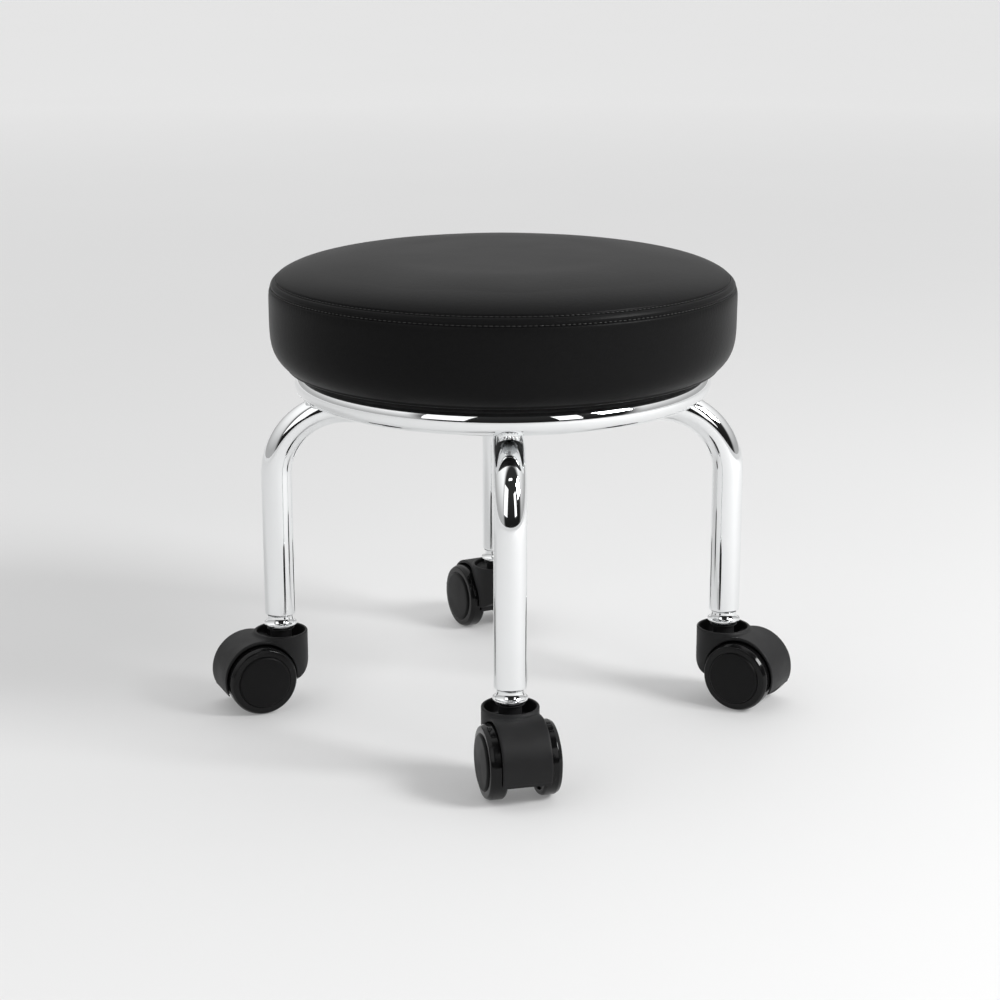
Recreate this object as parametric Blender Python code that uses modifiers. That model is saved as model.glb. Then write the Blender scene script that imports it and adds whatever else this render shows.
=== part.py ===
"""Rolling stylist stool.

A round padded seat rests on a chromed ring. Four bent tube legs run in under the ring to a square
hub, and each leg stands on a twin-wheel swivel caster. Metres, +Z up. The origin is on the floor
under the seat's centre, and the front leg is at -Y.
"""

import math

import bmesh
import bpy
from mathutils import Matrix, Vector

GAP = 0.0003                     # clearance between pieces that touch
MERGE = 0.00001                  # points nearer than this are one
THROUGH = 0.01                   # how far a cutter reaches past what it cuts

# Seat
SEAT_RADIUS = 0.1649             # at the widest height
SEAT_TOP = 0.3316
WIDEST_HEIGHT = 0.298
SEAT_EDGE_HEIGHT = 0.2552        # where the side turns under
SEAT_EDGE_RADIUS = 0.1534
CROWN_HEIGHT_POWER = 3.58        # shape of the crown: higher is squarer
CROWN_RADIUS_POWER = 3.81
SIDE_POWER = 4.75                # how late the side curves in on its way down
TOP_FLAT_RADIUS = 0.030
SEAM_ANGLE = math.radians(72.8)  # place of the seam on the crown's curve
SEAM_GAP_ANGLE = math.radians(0.9)
SKIN = 0.0012                    # leather thickness
SKIN_TO_FOAM = 0.0015
EDGE_ROUND = 0.004               # the turned-under edge, measured inward
HEM_RADIUS = 0.118               # inner edge of the leather turned under the board
SEAT_STEPS = 36

# Board, dust cover and fastenings, stacked up from the top of the ring
DUST_COVER = 0.0008
DUST_COVER_RADIUS = 0.146
BOARD = 0.012
BOARD_RADIUS = 0.1505
SCREW_SPACING = 0.100
SCREW_RADIUS = 0.0029
SCREW_HEAD_RADIUS = 0.0055
SCREW_HEAD = 0.0033
SCREW_LENGTH = 0.0165
SCREW_HOLE_RADIUS = 0.0034
NUT_FLANGE_RADIUS = 0.009
NUT_FLANGE = 0.001
NUT_BARREL_RADIUS = 0.0042
NUT_BARREL = 0.009
NUT_HOLE_RADIUS = 0.0048

# Chromed frame
TUBE_RADIUS = 0.0111
TUBE_WALL = 0.0015
LEG_CIRCLE = 0.1625              # leg axis to the stool's axis
LEG_BEND = 0.0495
LEG_BOTTOM = 0.0673
RING_RADIUS = 0.1382
RING_TUBE = 0.0095
RING_HEIGHT = 0.2425
HUB_HALF = 0.024
HUB_WALL = 0.002
HUB_BOTTOM = 0.208
HUB_CORNER = 0.003
PLATE_HALF = 0.065
PLATE_CORNER = 0.010
PLATE = 0.003

# Ferrule in the foot of each leg
FERRULE_BOTTOM = 0.0600
FERRULE_FLARE = 0.0119
FERRULE_NECK = 0.0091
FERRULE_SPIGOT = 0.0089
FERRULE_TOP = 0.086
FERRULE_BORE = 0.0058
FLARE_SHARE = 0.85               # part of the collar's height taken by the flare

# Caster, in its own frame: swivel axis at the origin, trailing along +X
TRAIL = 0.0206
WHEEL_RADIUS = 0.025
WHEEL_INSIDE = 0.0123            # wheel's inner face to the caster's middle plane
WHEEL_WIDTH = 0.0125
WHEEL_STEPS = 26                 # leaves a flat between two edges at the very bottom
AXLE_RADIUS = 0.003
AXLE_HOLE = 0.0034
AXLE_HALF = 0.0212
TREAD_ROUND = 0.0022             # tread's outer edge
CAP_RADIUS = 0.0197
CAP_RECESS = 0.0025
CAP_HEIGHT = 0.0034
BOSS_RADIUS = 0.0195
BOSS_TOP = 0.0552
BOSS_FRONT = -0.0200             # just ahead of the boss, so that its front stays straight
BOSS_CURVE = 0.0175              # rounding under the front of the boss
BOSS_BOTTOM = 0.0215
RECESS_RADIUS = 0.0176
RECESS_FLOOR = 0.044
HOOD_RADIUS = 0.0273
HOOD_RISE = 0.0012               # height of the hood's centre over the axle
HOOD_CAVITY = 0.0260
HOOD_HALF = 0.0168
HOOD_TIP = 0.0150                # height of the hood's rear lower edge
HOOD_CHAMFER = 0.0215
HOOD_TIP_LENGTH = 0.012
HOOD_FLOOR = 0.0175
ARCH_RADIUS = 0.0268             # inner arch that closes the hood's sides against the boss
ARCH_INSET = 0.0004
WEB_HALF = 0.004
POST_RADIUS = 0.0078
POST_TOP = 0.0566
POST_BOTTOM = 0.0275
STEM_BORE = 0.0044
STEM_BORE_BOTTOM = 0.0304
AXLE_BOSS_RADIUS = 0.0068
AXLE_BOSS_HALF = 0.0118
STEM_SHANK = 0.0055
STEM_PIVOT = 0.004
STEM_FLANGE = 0.0085
STEM_TOP = 0.082
STEM_CHAMFER = 0.001
STEM_BOTTOM = 0.031
WASHER_RADIUS = 0.0102
WASHER = 0.0007

# Name, direction of the leg from the centre, and the way its caster trails, in degrees
CORNERS = (
    ("front", -90.0, -77.5),
    ("right", 0.0, -33.0),
    ("back", 90.0, 115.0),
    ("left", 180.0, 202.0),
)

RING_TOP = RING_HEIGHT + RING_TUBE
ARM_HEIGHT = RING_HEIGHT - RING_TUBE - GAP - TUBE_RADIUS
DUST_COVER_BOTTOM = RING_TOP + GAP
HEM_BOTTOM = DUST_COVER_BOTTOM + DUST_COVER + GAP
BOARD_BOTTOM = HEM_BOTTOM + SKIN + GAP
BOARD_TOP = BOARD_BOTTOM + BOARD
FOAM_BOTTOM = BOARD_TOP + GAP + NUT_FLANGE + GAP
PLATE_BOTTOM = RING_TOP - PLATE

FINISHES = {
    "black_leather": ((0.012, 0.012, 0.013), 0.45, 0.0),
    "foam": ((0.75, 0.70, 0.55), 0.95, 0.0),
    "plywood": ((0.55, 0.38, 0.22), 0.7, 0.0),
    "black_cloth": ((0.015, 0.015, 0.015), 0.95, 0.0),
    "chrome": ((0.86, 0.87, 0.88), 0.05, 1.0),
    "zinc": ((0.62, 0.63, 0.64), 0.35, 1.0),
    "steel": ((0.50, 0.51, 0.52), 0.30, 1.0),
    "black_nylon": ((0.025, 0.025, 0.026), 0.5, 0.0),
    "wheel_nylon": ((0.015, 0.015, 0.016), 0.35, 0.0),
    "black_acetal": ((0.02, 0.02, 0.02), 0.4, 0.0),
}


def clear_scene():
    for obj in list(bpy.data.objects):
        bpy.data.objects.remove(obj, do_unlink=True)


def collection(name):
    made = bpy.data.collections.new(name)
    bpy.context.scene.collection.children.link(made)
    return made


def finish(name):
    """The material of this name, made the first time it is asked for."""
    material = bpy.data.materials.get(name)
    if material is None:
        colour, roughness, metallic = FINISHES[name]
        material = bpy.data.materials.new(name)
        material.use_nodes = True
        shader = material.node_tree.nodes["Principled BSDF"]
        shader.inputs["Base Color"].default_value = (*colour, 1.0)
        shader.inputs["Roughness"].default_value = roughness
        shader.inputs["Metallic"].default_value = metallic
        material.diffuse_color = (*colour, 1.0)
    return material


def place(name, data, material, parent=None, location=(0, 0, 0), rotation=(0, 0, 0)):
    """An object in the stool's collection, with its finish."""
    obj = bpy.data.objects.new(name, data)
    if data is not None:
        data.materials.clear()
        data.materials.append(finish(material))
    bpy.data.collections["rolling_stylist_stool"].objects.link(obj)
    obj.parent = parent
    obj.location = location
    obj.rotation_euler = rotation
    return obj


def helper(name, mesh):
    """A tool shape that takes part in a Boolean and is not a piece of the stool."""
    obj = bpy.data.objects.new(name, mesh)
    bpy.data.collections["cutters"].objects.link(obj)
    obj.hide_render = True
    obj.display_type = "WIRE"
    return obj


def arc(centre, radius, start, end, count):
    """Points on a circle from one angle to another, in degrees."""
    angles = (math.radians(start + (end - start) * i / count) for i in range(count + 1))
    return [(centre[0] + radius * math.cos(a), centre[1] + radius * math.sin(a)) for a in angles]


def circle(centre, radius, count):
    return arc(centre, radius, 0, 360, count)[:-1]


def profile_mesh(name, profile, closed):
    """(radius, height) points joined by edges in the XZ plane."""
    edges = [(i, i + 1) for i in range(len(profile) - 1)]
    if closed:
        edges.append((len(profile) - 1, 0))
    mesh = bpy.data.meshes.new(name)
    mesh.from_pydata([(radius, 0, height) for radius, height in profile], edges, [])
    return mesh


def turn(obj, steps):
    """Turns an object's profile about its own Z."""
    screw = obj.modifiers.new("Turn", "SCREW")
    screw.steps = screw.render_steps = steps
    screw.use_merge_vertices = True
    screw.merge_threshold = MERGE
    screw.use_smooth_shade = True


def turned(name, profile, steps, material, **where):
    """A solid of revolution; a profile that stays off the axis is a closed loop."""
    closed = min(radius for radius, _ in profile) > 0
    obj = place(name, profile_mesh(name, profile, closed), material, **where)
    turn(obj, steps)
    return obj


def wall(obj, thickness):
    """Gives a surface its wall, on the inside."""
    solid = obj.modifiers.new("Wall", "SOLIDIFY")
    solid.thickness = thickness
    solid.offset = -1
    solid.use_even_offset = True


def shell(name, profile, steps, thickness, material):
    """An open profile, turned and given a wall."""
    obj = place(name, profile_mesh(name, profile, False), material)
    turn(obj, steps)
    wall(obj, thickness)


def flat_curve(name, outlines, half_thickness):
    """A filled 2D curve: the first outline is the edge and the others are holes."""
    curve = bpy.data.curves.new(name, "CURVE")
    curve.dimensions = "2D"
    curve.fill_mode = "BOTH"
    curve.extrude = half_thickness
    for outline in outlines:
        spline = curve.splines.new("POLY")
        spline.points.add(len(outline) - 1)
        for point, (x, y) in zip(spline.points, outline):
            point.co = (x, y, 0, 1)
        spline.use_cyclic_u = True
    return curve


def to_mesh(obj):
    """The object's evaluated shape as a welded mesh; the object is removed."""
    bpy.context.view_layer.update()
    graph = bpy.context.evaluated_depsgraph_get()
    mesh = bpy.data.meshes.new_from_object(obj.evaluated_get(graph))
    bm = bmesh.new()
    bm.from_mesh(mesh)
    bmesh.ops.remove_doubles(bm, verts=bm.verts, dist=MERGE)
    bm.transform(obj.matrix_world)
    bm.to_mesh(mesh)
    bm.free()
    bpy.data.objects.remove(obj, do_unlink=True)
    return mesh


def side_slab(name, outline, half_width):
    """An outline in the XZ plane, extruded both ways along Y."""
    mesh = to_mesh(helper(name, flat_curve(name, [outline], half_width)))
    mesh.transform(Matrix.Rotation(math.radians(90), 4, "X"))
    return mesh


def rod(name, radius, start, end, sides, axis="Z"):
    """A cylinder mesh along Z or Y between two places on that axis."""
    bm = bmesh.new()
    bmesh.ops.create_cone(
        bm, cap_ends=True, segments=sides, radius1=radius, radius2=radius, depth=end - start
    )
    bm.transform(Matrix.Translation((0, 0, (start + end) / 2)))
    if axis == "Y":
        bm.transform(Matrix.Rotation(math.radians(-90), 4, "X"))
    mesh = bpy.data.meshes.new(name)
    bm.to_mesh(mesh)
    bm.free()
    return mesh


def combine(base, steps):
    """Applies Booleans to a base mesh in turn, each an (operation, mesh) pair."""
    body = helper("body", base)
    tools = []
    for operation, mesh in steps:
        tool = helper("tool", mesh)
        tools.append(tool)
        boolean = body.modifiers.new(operation.title(), "BOOLEAN")
        boolean.operation = operation
        boolean.solver = "EXACT"
        boolean.object = tool
    mesh = to_mesh(body)
    for tool in tools:
        bpy.data.objects.remove(tool, do_unlink=True)
    return mesh


# Seat

def crown_point(angle):
    """A point of the crown, whose section is a superellipse; 0 is the top, 90 degrees the side."""
    radius = SEAT_RADIUS * math.sin(angle) ** (2 / CROWN_RADIUS_POWER)
    rise = (SEAT_TOP - WIDEST_HEIGHT) * max(math.cos(angle), 0.0) ** (2 / CROWN_HEIGHT_POWER)
    return radius, WIDEST_HEIGHT + rise


def side_point(fraction):
    """A point of the side below the widest height; 1 is where it turns under."""
    draw_in = (SEAT_RADIUS - SEAT_EDGE_RADIUS) * fraction ** SIDE_POWER
    drop = (WIDEST_HEIGHT - SEAT_EDGE_HEIGHT) * fraction
    return SEAT_RADIUS - draw_in, WIDEST_HEIGHT - drop


def top_profile():
    flat = [(0, SEAT_TOP), (TOP_FLAT_RADIUS, SEAT_TOP)]
    return flat + [crown_point(SEAM_ANGLE * i / 7) for i in range(1, 8)]


def side_profile():
    start = SEAM_ANGLE + SEAM_GAP_ANGLE
    shoulder = [crown_point(start + (math.radians(90) - start) * i / 2) for i in range(2)]
    side = [side_point(fraction) for fraction in (0, 0.4, 0.68, 0.85, 1)]
    corner = (SEAT_EDGE_RADIUS - 0.4 * EDGE_ROUND, HEM_BOTTOM + 0.1 * EDGE_ROUND)
    return shoulder + side + [corner, (SEAT_EDGE_RADIUS - EDGE_ROUND, HEM_BOTTOM), (HEM_RADIUS, HEM_BOTTOM)]


def foam_profile():
    """The seat's outline moved in by the skin, down to the foam's flat underside."""
    crown = [crown_point(math.radians(90) * i / 8) for i in range(1, 9)]
    inner = [(radius - SKIN_TO_FOAM, height - SKIN_TO_FOAM) for radius, height in crown]
    bottom = (WIDEST_HEIGHT - FOAM_BOTTOM) / (WIDEST_HEIGHT - SEAT_EDGE_HEIGHT)
    side = [side_point(bottom * part) for part in (0.6, 1)]
    inner += [(radius - SKIN_TO_FOAM - SKIN / 2, height) for radius, height in side]
    return [(0, SEAT_TOP - SKIN_TO_FOAM)] + inner + [(0, FOAM_BOTTOM)]


def screw_places():
    half = SCREW_SPACING / 2
    return [(half, half), (-half, half), (-half, -half), (half, -half)]


def plate_of(name, edge, hole_radius, bottom, thickness, material):
    """A flat plate with the four screw holes."""
    holes = [circle(centre, hole_radius, 8) for centre in screw_places()]
    curve = flat_curve(name, [edge] + holes, thickness / 2)
    return place(name, curve, material, location=(0, 0, bottom + thickness / 2))


def square(half, corner):
    """A square outline with rounded corners."""
    inner = half - corner
    corners = [((inner, inner), 0), ((-inner, inner), 90), ((-inner, -inner), 180), ((inner, -inner), 270)]
    return [point for centre, start in corners for point in arc(centre, corner, start, start + 90, 3)]


def make_seat():
    shell("seat_top_panel", top_profile(), SEAT_STEPS, SKIN, "black_leather")
    shell("seat_side_panel", side_profile(), SEAT_STEPS, SKIN, "black_leather")
    turned("seat_foam", foam_profile(), SEAT_STEPS, "foam")
    board_edge = circle((0, 0), BOARD_RADIUS, SEAT_STEPS)
    plate_of("seat_board", board_edge, NUT_HOLE_RADIUS, BOARD_BOTTOM, BOARD, "plywood")
    cover_edge = circle((0, 0), DUST_COVER_RADIUS, SEAT_STEPS)
    plate_of("dust_cover", cover_edge, SCREW_HOLE_RADIUS, DUST_COVER_BOTTOM, DUST_COVER, "black_cloth")


def make_fastenings():
    """Screws up through the plate, and the tee nuts that hold them in the board."""
    head_top = PLATE_BOTTOM - GAP
    screw = [
        (0, head_top + SCREW_LENGTH),
        (SCREW_RADIUS, head_top + SCREW_LENGTH),
        (SCREW_RADIUS, head_top),
        (SCREW_HEAD_RADIUS, head_top),
        (SCREW_HEAD_RADIUS * 0.7, head_top - SCREW_HEAD),
        (0, head_top - SCREW_HEAD),
    ]
    flange = BOARD_TOP + GAP
    nut = [
        (SCREW_RADIUS + GAP, flange + NUT_FLANGE),
        (NUT_FLANGE_RADIUS, flange + NUT_FLANGE),
        (NUT_FLANGE_RADIUS, flange),
        (NUT_BARREL_RADIUS, flange),
        (NUT_BARREL_RADIUS, flange - NUT_BARREL),
        (SCREW_RADIUS + GAP, flange - NUT_BARREL),
    ]
    for number, (x, y) in enumerate(screw_places(), 1):
        turned(f"seat_screw_{number}", screw, 10, "zinc", location=(x, y, 0))
        turned(f"tee_nut_{number}", nut, 10, "zinc", location=(x, y, 0))


# Frame

def leg_mesh():
    """One leg along +X: up from its foot, round the bend and in to the hub, as an open tube."""
    bend = arc((LEG_CIRCLE - LEG_BEND, ARM_HEIGHT - LEG_BEND), LEG_BEND, 0, 90, 7)
    path = [(LEG_CIRCLE, LEG_BOTTOM)] + bend + [(HUB_HALF + GAP, ARM_HEIGHT)]
    curve = bpy.data.curves.new("leg", "CURVE")
    curve.dimensions = "3D"
    curve.bevel_depth = TUBE_RADIUS
    curve.bevel_resolution = 3
    spline = curve.splines.new("POLY")
    spline.points.add(len(path) - 1)
    for point, (x, z) in zip(spline.points, path):
        point.co = (x, 0, z, 1)
    return to_mesh(helper("leg", curve))


def make_frame():
    bpy.ops.mesh.primitive_torus_add(
        major_radius=RING_RADIUS, minor_radius=RING_TUBE, major_segments=48, minor_segments=10
    )
    torus = bpy.context.object
    torus.data.shade_smooth()
    place("seat_ring", torus.data, "chrome", location=(0, 0, RING_HEIGHT))
    bpy.data.objects.remove(torus, do_unlink=True)

    hub_height = PLATE_BOTTOM - GAP - HUB_BOTTOM
    walls = [square(HUB_HALF, HUB_CORNER), square(HUB_HALF - HUB_WALL, HUB_CORNER - HUB_WALL)]
    hub = flat_curve("frame_hub", walls, hub_height / 2)
    place("frame_hub", hub, "chrome", location=(0, 0, HUB_BOTTOM + hub_height / 2))
    edge = square(PLATE_HALF, PLATE_CORNER)
    plate_of("seat_plate", edge, SCREW_HOLE_RADIUS, PLATE_BOTTOM, PLATE, "chrome")

    tube = leg_mesh()
    tube.shade_smooth()
    for name, direction, _ in CORNERS:
        leg = place(f"leg_{name}", tube, "chrome", rotation=(0, 0, math.radians(direction)))
        wall(leg, TUBE_WALL)


# Casters

def ferrule_profile():
    """A plug in the tube's end with a neck and a flared collar below it."""
    shoulder = LEG_BOTTOM - GAP
    drop = (shoulder - FERRULE_BOTTOM) * FLARE_SHARE
    spread = FERRULE_FLARE - FERRULE_NECK
    angles = [math.radians(30 * i) for i in range(4)]
    flare = [(FERRULE_FLARE - spread * math.cos(a), shoulder - drop * math.sin(a)) for a in angles]
    return [
        (FERRULE_BORE, FERRULE_TOP),
        (FERRULE_SPIGOT, FERRULE_TOP),
        (FERRULE_SPIGOT, shoulder + GAP),
        *flare,
        (FERRULE_FLARE, FERRULE_BOTTOM),
        (FERRULE_BORE, FERRULE_BOTTOM),
    ]


def stem_profile():
    flange_top = FERRULE_BOTTOM - GAP
    flange_bottom = POST_TOP + GAP + WASHER + GAP
    return [
        (0, STEM_TOP),
        (STEM_SHANK - STEM_CHAMFER, STEM_TOP),
        (STEM_SHANK, STEM_TOP - STEM_CHAMFER),
        (STEM_SHANK, flange_top),
        (STEM_FLANGE, flange_top),
        (STEM_FLANGE, flange_bottom),
        (STEM_PIVOT, flange_bottom),
        (STEM_PIVOT, STEM_BOTTOM),
        (0, STEM_BOTTOM),
    ]


def washer_profile():
    low = POST_TOP + GAP
    bore = STEM_BORE
    return [(bore, low + WASHER), (WASHER_RADIUS, low + WASHER), (WASHER_RADIUS, low), (bore, low)]


def boss_outline():
    """Side view of the boss: straight at the front and rounded under."""
    top = BOSS_TOP + THROUGH
    front = arc((BOSS_FRONT + BOSS_CURVE, BOSS_BOTTOM + BOSS_CURVE), BOSS_CURVE, 180, 270, 5)
    return [(BOSS_FRONT, top)] + front + [(TRAIL, BOSS_BOTTOM), (TRAIL, top)]


def hood_outline():
    """Side view of the hood: an arc over the wheels with a chamfered rear lower edge."""
    centre = (TRAIL, WHEEL_RADIUS + HOOD_RISE)
    low = math.degrees(math.asin((HOOD_CHAMFER - centre[1]) / HOOD_RADIUS))
    tip_x = TRAIL + math.sqrt(HOOD_CAVITY ** 2 - (WHEEL_RADIUS - HOOD_TIP) ** 2)
    back = arc(centre, HOOD_RADIUS, 90, low, 8)
    tip = [(tip_x, HOOD_TIP), (tip_x - HOOD_TIP_LENGTH, HOOD_FLOOR)]
    return [(0, back[0][1])] + back + tip + [(0, HOOD_FLOOR)]


def hood_mesh():
    """The caster body: boss, hood, web and post joined, with wheel spaces, recess and bores cut."""
    axle = Matrix.Translation((TRAIL, 0, WHEEL_RADIUS))
    arch_half, reach = HOOD_HALF - ARCH_INSET, HOOD_HALF + THROUGH
    top = POST_TOP + THROUGH
    arch = rod("arch", ARCH_RADIUS, -arch_half, arch_half, 22, "Y")
    axle_boss = rod("axle_boss", AXLE_BOSS_RADIUS, -AXLE_BOSS_HALF, AXLE_BOSS_HALF, 10, "Y")
    axle_hole = rod("axle_hole", AXLE_HOLE, -reach, reach, 12, "Y")
    near_space = rod("wheel_space", HOOD_CAVITY, WEB_HALF, reach, 26, "Y")
    far_space = rod("wheel_space", HOOD_CAVITY, -reach, -WEB_HALF, 26, "Y")
    for mesh in (arch, axle_boss, axle_hole, near_space, far_space):
        mesh.transform(axle)
    below_arch = rod("below_arch", TRAIL + ARCH_RADIUS + THROUGH, -THROUGH, HOOD_FLOOR, 8)
    arch = combine(arch, [("DIFFERENCE", below_arch)])
    return combine(
        rod("boss", BOSS_RADIUS, BOSS_BOTTOM - THROUGH, BOSS_TOP, 26),
        [
            ("INTERSECT", side_slab("boss_side", boss_outline(), BOSS_RADIUS + THROUGH)),
            ("UNION", side_slab("hood_side", hood_outline(), HOOD_HALF)),
            ("DIFFERENCE", rod("recess", RECESS_RADIUS, RECESS_FLOOR, top, 24)),
            ("UNION", arch),
            ("DIFFERENCE", near_space),
            ("DIFFERENCE", far_space),
            ("UNION", rod("post", POST_RADIUS, POST_BOTTOM, POST_TOP, 12)),
            ("UNION", axle_boss),
            ("DIFFERENCE", rod("stem_hole", STEM_BORE, STEM_BORE_BOTTOM, top, 12)),
            ("DIFFERENCE", axle_hole),
        ],
    )


def wheel_profile():
    """Half section of a wheel, with its inner face at height 0 and the cap's recess on top."""
    # The flats between the turned edges lie at the wheel's true radius.
    tread = WHEEL_RADIUS / math.cos(math.pi / WHEEL_STEPS)
    floor = WHEEL_WIDTH - CAP_RECESS
    recess = CAP_RADIUS + 2 * GAP
    return [
        (AXLE_HOLE, floor),
        (recess, floor),
        (recess, WHEEL_WIDTH),
        (tread - TREAD_ROUND, WHEEL_WIDTH),
        (tread - 0.28 * TREAD_ROUND, WHEEL_WIDTH - 0.45 * TREAD_ROUND),
        (tread, WHEEL_WIDTH - 1.28 * TREAD_ROUND),
        (tread, 0.5 * TREAD_ROUND),
        (tread - 0.5 * TREAD_ROUND, 0),
        (AXLE_HOLE, 0),
    ]


def cap_profile():
    """A shallow dome that stands in the wheel's recess."""
    edge = CAP_RECESS - GAP
    dome = CAP_HEIGHT - edge
    crown = [(CAP_RADIUS * part, edge + dome * (1 - part ** 2.5)) for part in (0.45, 0.8)]
    return [(0, CAP_HEIGHT)] + crown + [(CAP_RADIUS, edge), (CAP_RADIUS, 0), (0, 0)]


def make_casters():
    hood = hood_mesh()
    axle = rod("axle", AXLE_RADIUS, -AXLE_HALF, AXLE_HALF, 12, "Y")
    for name, direction, trail in CORNERS:
        angle = math.radians(direction)
        foot = Vector((LEG_CIRCLE * math.cos(angle), LEG_CIRCLE * math.sin(angle), 0))
        turned(f"ferrule_{name}", ferrule_profile(), 16, "chrome", location=foot)
        turned(f"caster_stem_{name}", stem_profile(), 12, "steel", location=foot)
        swivel = place(f"caster_{name}", None, None, location=foot, rotation=(0, 0, math.radians(trail)))
        turned(f"swivel_washer_{name}", washer_profile(), 12, "black_acetal", parent=swivel)
        place(f"caster_hood_{name}", hood, "black_nylon", parent=swivel)
        centre = (TRAIL, 0, WHEEL_RADIUS)
        place(f"caster_axle_{name}", axle, "steel", parent=swivel, location=centre)
        for side, sign in (("left", 1), ("right", -1)):
            make_wheel(f"{name}_{side}", sign, swivel)


def make_wheel(name, sign, swivel):
    """A wheel and its cap; sign 1 faces +Y of the caster, -1 faces -Y."""
    facing = (math.radians(-90 * sign), 0, 0)
    inner = (TRAIL, sign * WHEEL_INSIDE, WHEEL_RADIUS)
    seat = (TRAIL, sign * (WHEEL_INSIDE + WHEEL_WIDTH - CAP_RECESS + GAP), WHEEL_RADIUS)
    wheel = turned(f"wheel_{name}", wheel_profile(), WHEEL_STEPS, "wheel_nylon", parent=swivel)
    wheel.location, wheel.rotation_euler = inner, facing
    cap = turned(f"hub_cap_{name}", cap_profile(), 22, "wheel_nylon", parent=swivel)
    cap.location, cap.rotation_euler = seat, facing


def main():
    clear_scene()
    collection("rolling_stylist_stool")
    collection("cutters")
    make_seat()
    make_fastenings()
    make_frame()
    make_casters()


main()
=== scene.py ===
"""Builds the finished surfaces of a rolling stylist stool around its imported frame."""

import math

import bmesh
import bpy
import numpy as np
from bpy.props import FloatProperty, FloatVectorProperty, PointerProperty
from mathutils import Matrix, Vector


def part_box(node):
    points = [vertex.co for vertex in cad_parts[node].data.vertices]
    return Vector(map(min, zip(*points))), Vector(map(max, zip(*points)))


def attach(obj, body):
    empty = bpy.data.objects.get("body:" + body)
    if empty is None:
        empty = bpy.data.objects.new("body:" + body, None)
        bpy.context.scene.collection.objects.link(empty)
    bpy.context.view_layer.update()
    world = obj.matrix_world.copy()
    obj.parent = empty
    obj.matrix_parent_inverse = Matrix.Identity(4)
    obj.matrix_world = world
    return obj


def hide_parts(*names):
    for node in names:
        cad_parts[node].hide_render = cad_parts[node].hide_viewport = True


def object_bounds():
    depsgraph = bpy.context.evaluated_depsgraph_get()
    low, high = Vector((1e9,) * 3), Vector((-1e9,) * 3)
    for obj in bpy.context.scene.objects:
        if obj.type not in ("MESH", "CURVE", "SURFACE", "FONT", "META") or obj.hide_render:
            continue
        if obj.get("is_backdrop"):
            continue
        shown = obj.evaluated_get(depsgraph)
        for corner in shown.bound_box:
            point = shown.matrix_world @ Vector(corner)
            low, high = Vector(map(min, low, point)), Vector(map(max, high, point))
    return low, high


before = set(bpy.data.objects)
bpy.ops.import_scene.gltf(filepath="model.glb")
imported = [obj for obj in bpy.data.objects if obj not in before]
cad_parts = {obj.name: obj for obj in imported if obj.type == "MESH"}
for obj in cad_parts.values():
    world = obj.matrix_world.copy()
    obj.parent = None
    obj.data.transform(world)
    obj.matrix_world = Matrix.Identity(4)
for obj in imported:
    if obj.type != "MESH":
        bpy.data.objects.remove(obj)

bl_info = {
    "name": "Rolling stylist stool",
    "version": (1, 0, 0),
    "blender": (4, 5, 0),
    "location": "View3D > Sidebar > Stool",
    "description": "Leather, chrome and caster surfaces of a rolling stylist stool",
    "category": "Add Mesh",
}

TURN = 2 * math.pi
MERGE = 1e-6                        # points nearer than this are one
GAP = 0.0003                        # clearance between pieces that stand close together
TUBE, RING_TUBE = 0.0111, 0.0095    # radii of the leg tube and of the ring's bar
FRAME_BODY = "seat_frame"

# Name, direction of the leg from the centre, and the way its caster trails, in degrees
CORNERS = (
    ("front", -90.0, -77.5),
    ("right", 0.0, -33.0),
    ("back", 90.0, 115.0),
    ("left", 180.0, 202.0),
)
SIDES = (("left", 1.0), ("right", -1.0))


# Sizes and colours -----------------------------------------------------------------------------

def length(name, description, default):
    """A size in metres that a user may change."""
    return FloatProperty(name=name, description=description, default=default, min=0.0, unit="LENGTH")


def colour(name, description, default):
    """A colour that a user may change, as linear red, green and blue."""
    return FloatVectorProperty(
        name=name, description=description, default=default, size=3, min=0.0, max=1.0, subtype="COLOR"
    )


# Corners of the frame's own pieces, which the sizes start from
SEAT_LOW, SEAT_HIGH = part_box("seat_side_panel")
RING_LOW, RING_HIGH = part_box("seat_ring")
LEG_LOW, LEG_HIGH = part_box("leg_right")
BOARD_LOW, BOARD_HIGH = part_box("seat_board")
SEAT_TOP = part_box("seat_top_panel")[1].z
HUB_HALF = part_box("frame_hub")[1].x


class StoolSeatSizes(bpy.types.PropertyGroup):
    radius: length("Radius", "Radius of the seat at its widest height", SEAT_HIGH.x)
    top: length("Top", "Height of the middle of the seat", SEAT_TOP)
    widest: length("Widest height", "Height where the seat is widest", 0.298)
    edge_height: length("Edge height", "Height where the side turns under", 0.2552)
    edge_radius: length("Edge radius", "Radius where the side turns under", 0.1534)
    bottom: length("Underside", "Height of the leather's turned-under hem", SEAT_LOW.z)
    hem_radius: length("Hem radius", "Inner radius of the turned-under hem", 0.118)
    skin: length("Leather thickness", "Thickness of the leather", 0.0012)
    seam_spread: length("Seam spread", "Distance between the seam's two rows of stitches", 0.0066)
    stitch: length("Stitch length", "Distance from one stitch to the next", 0.0036)
    thread: length("Thread", "Radius of the thread", 0.00032)


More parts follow.
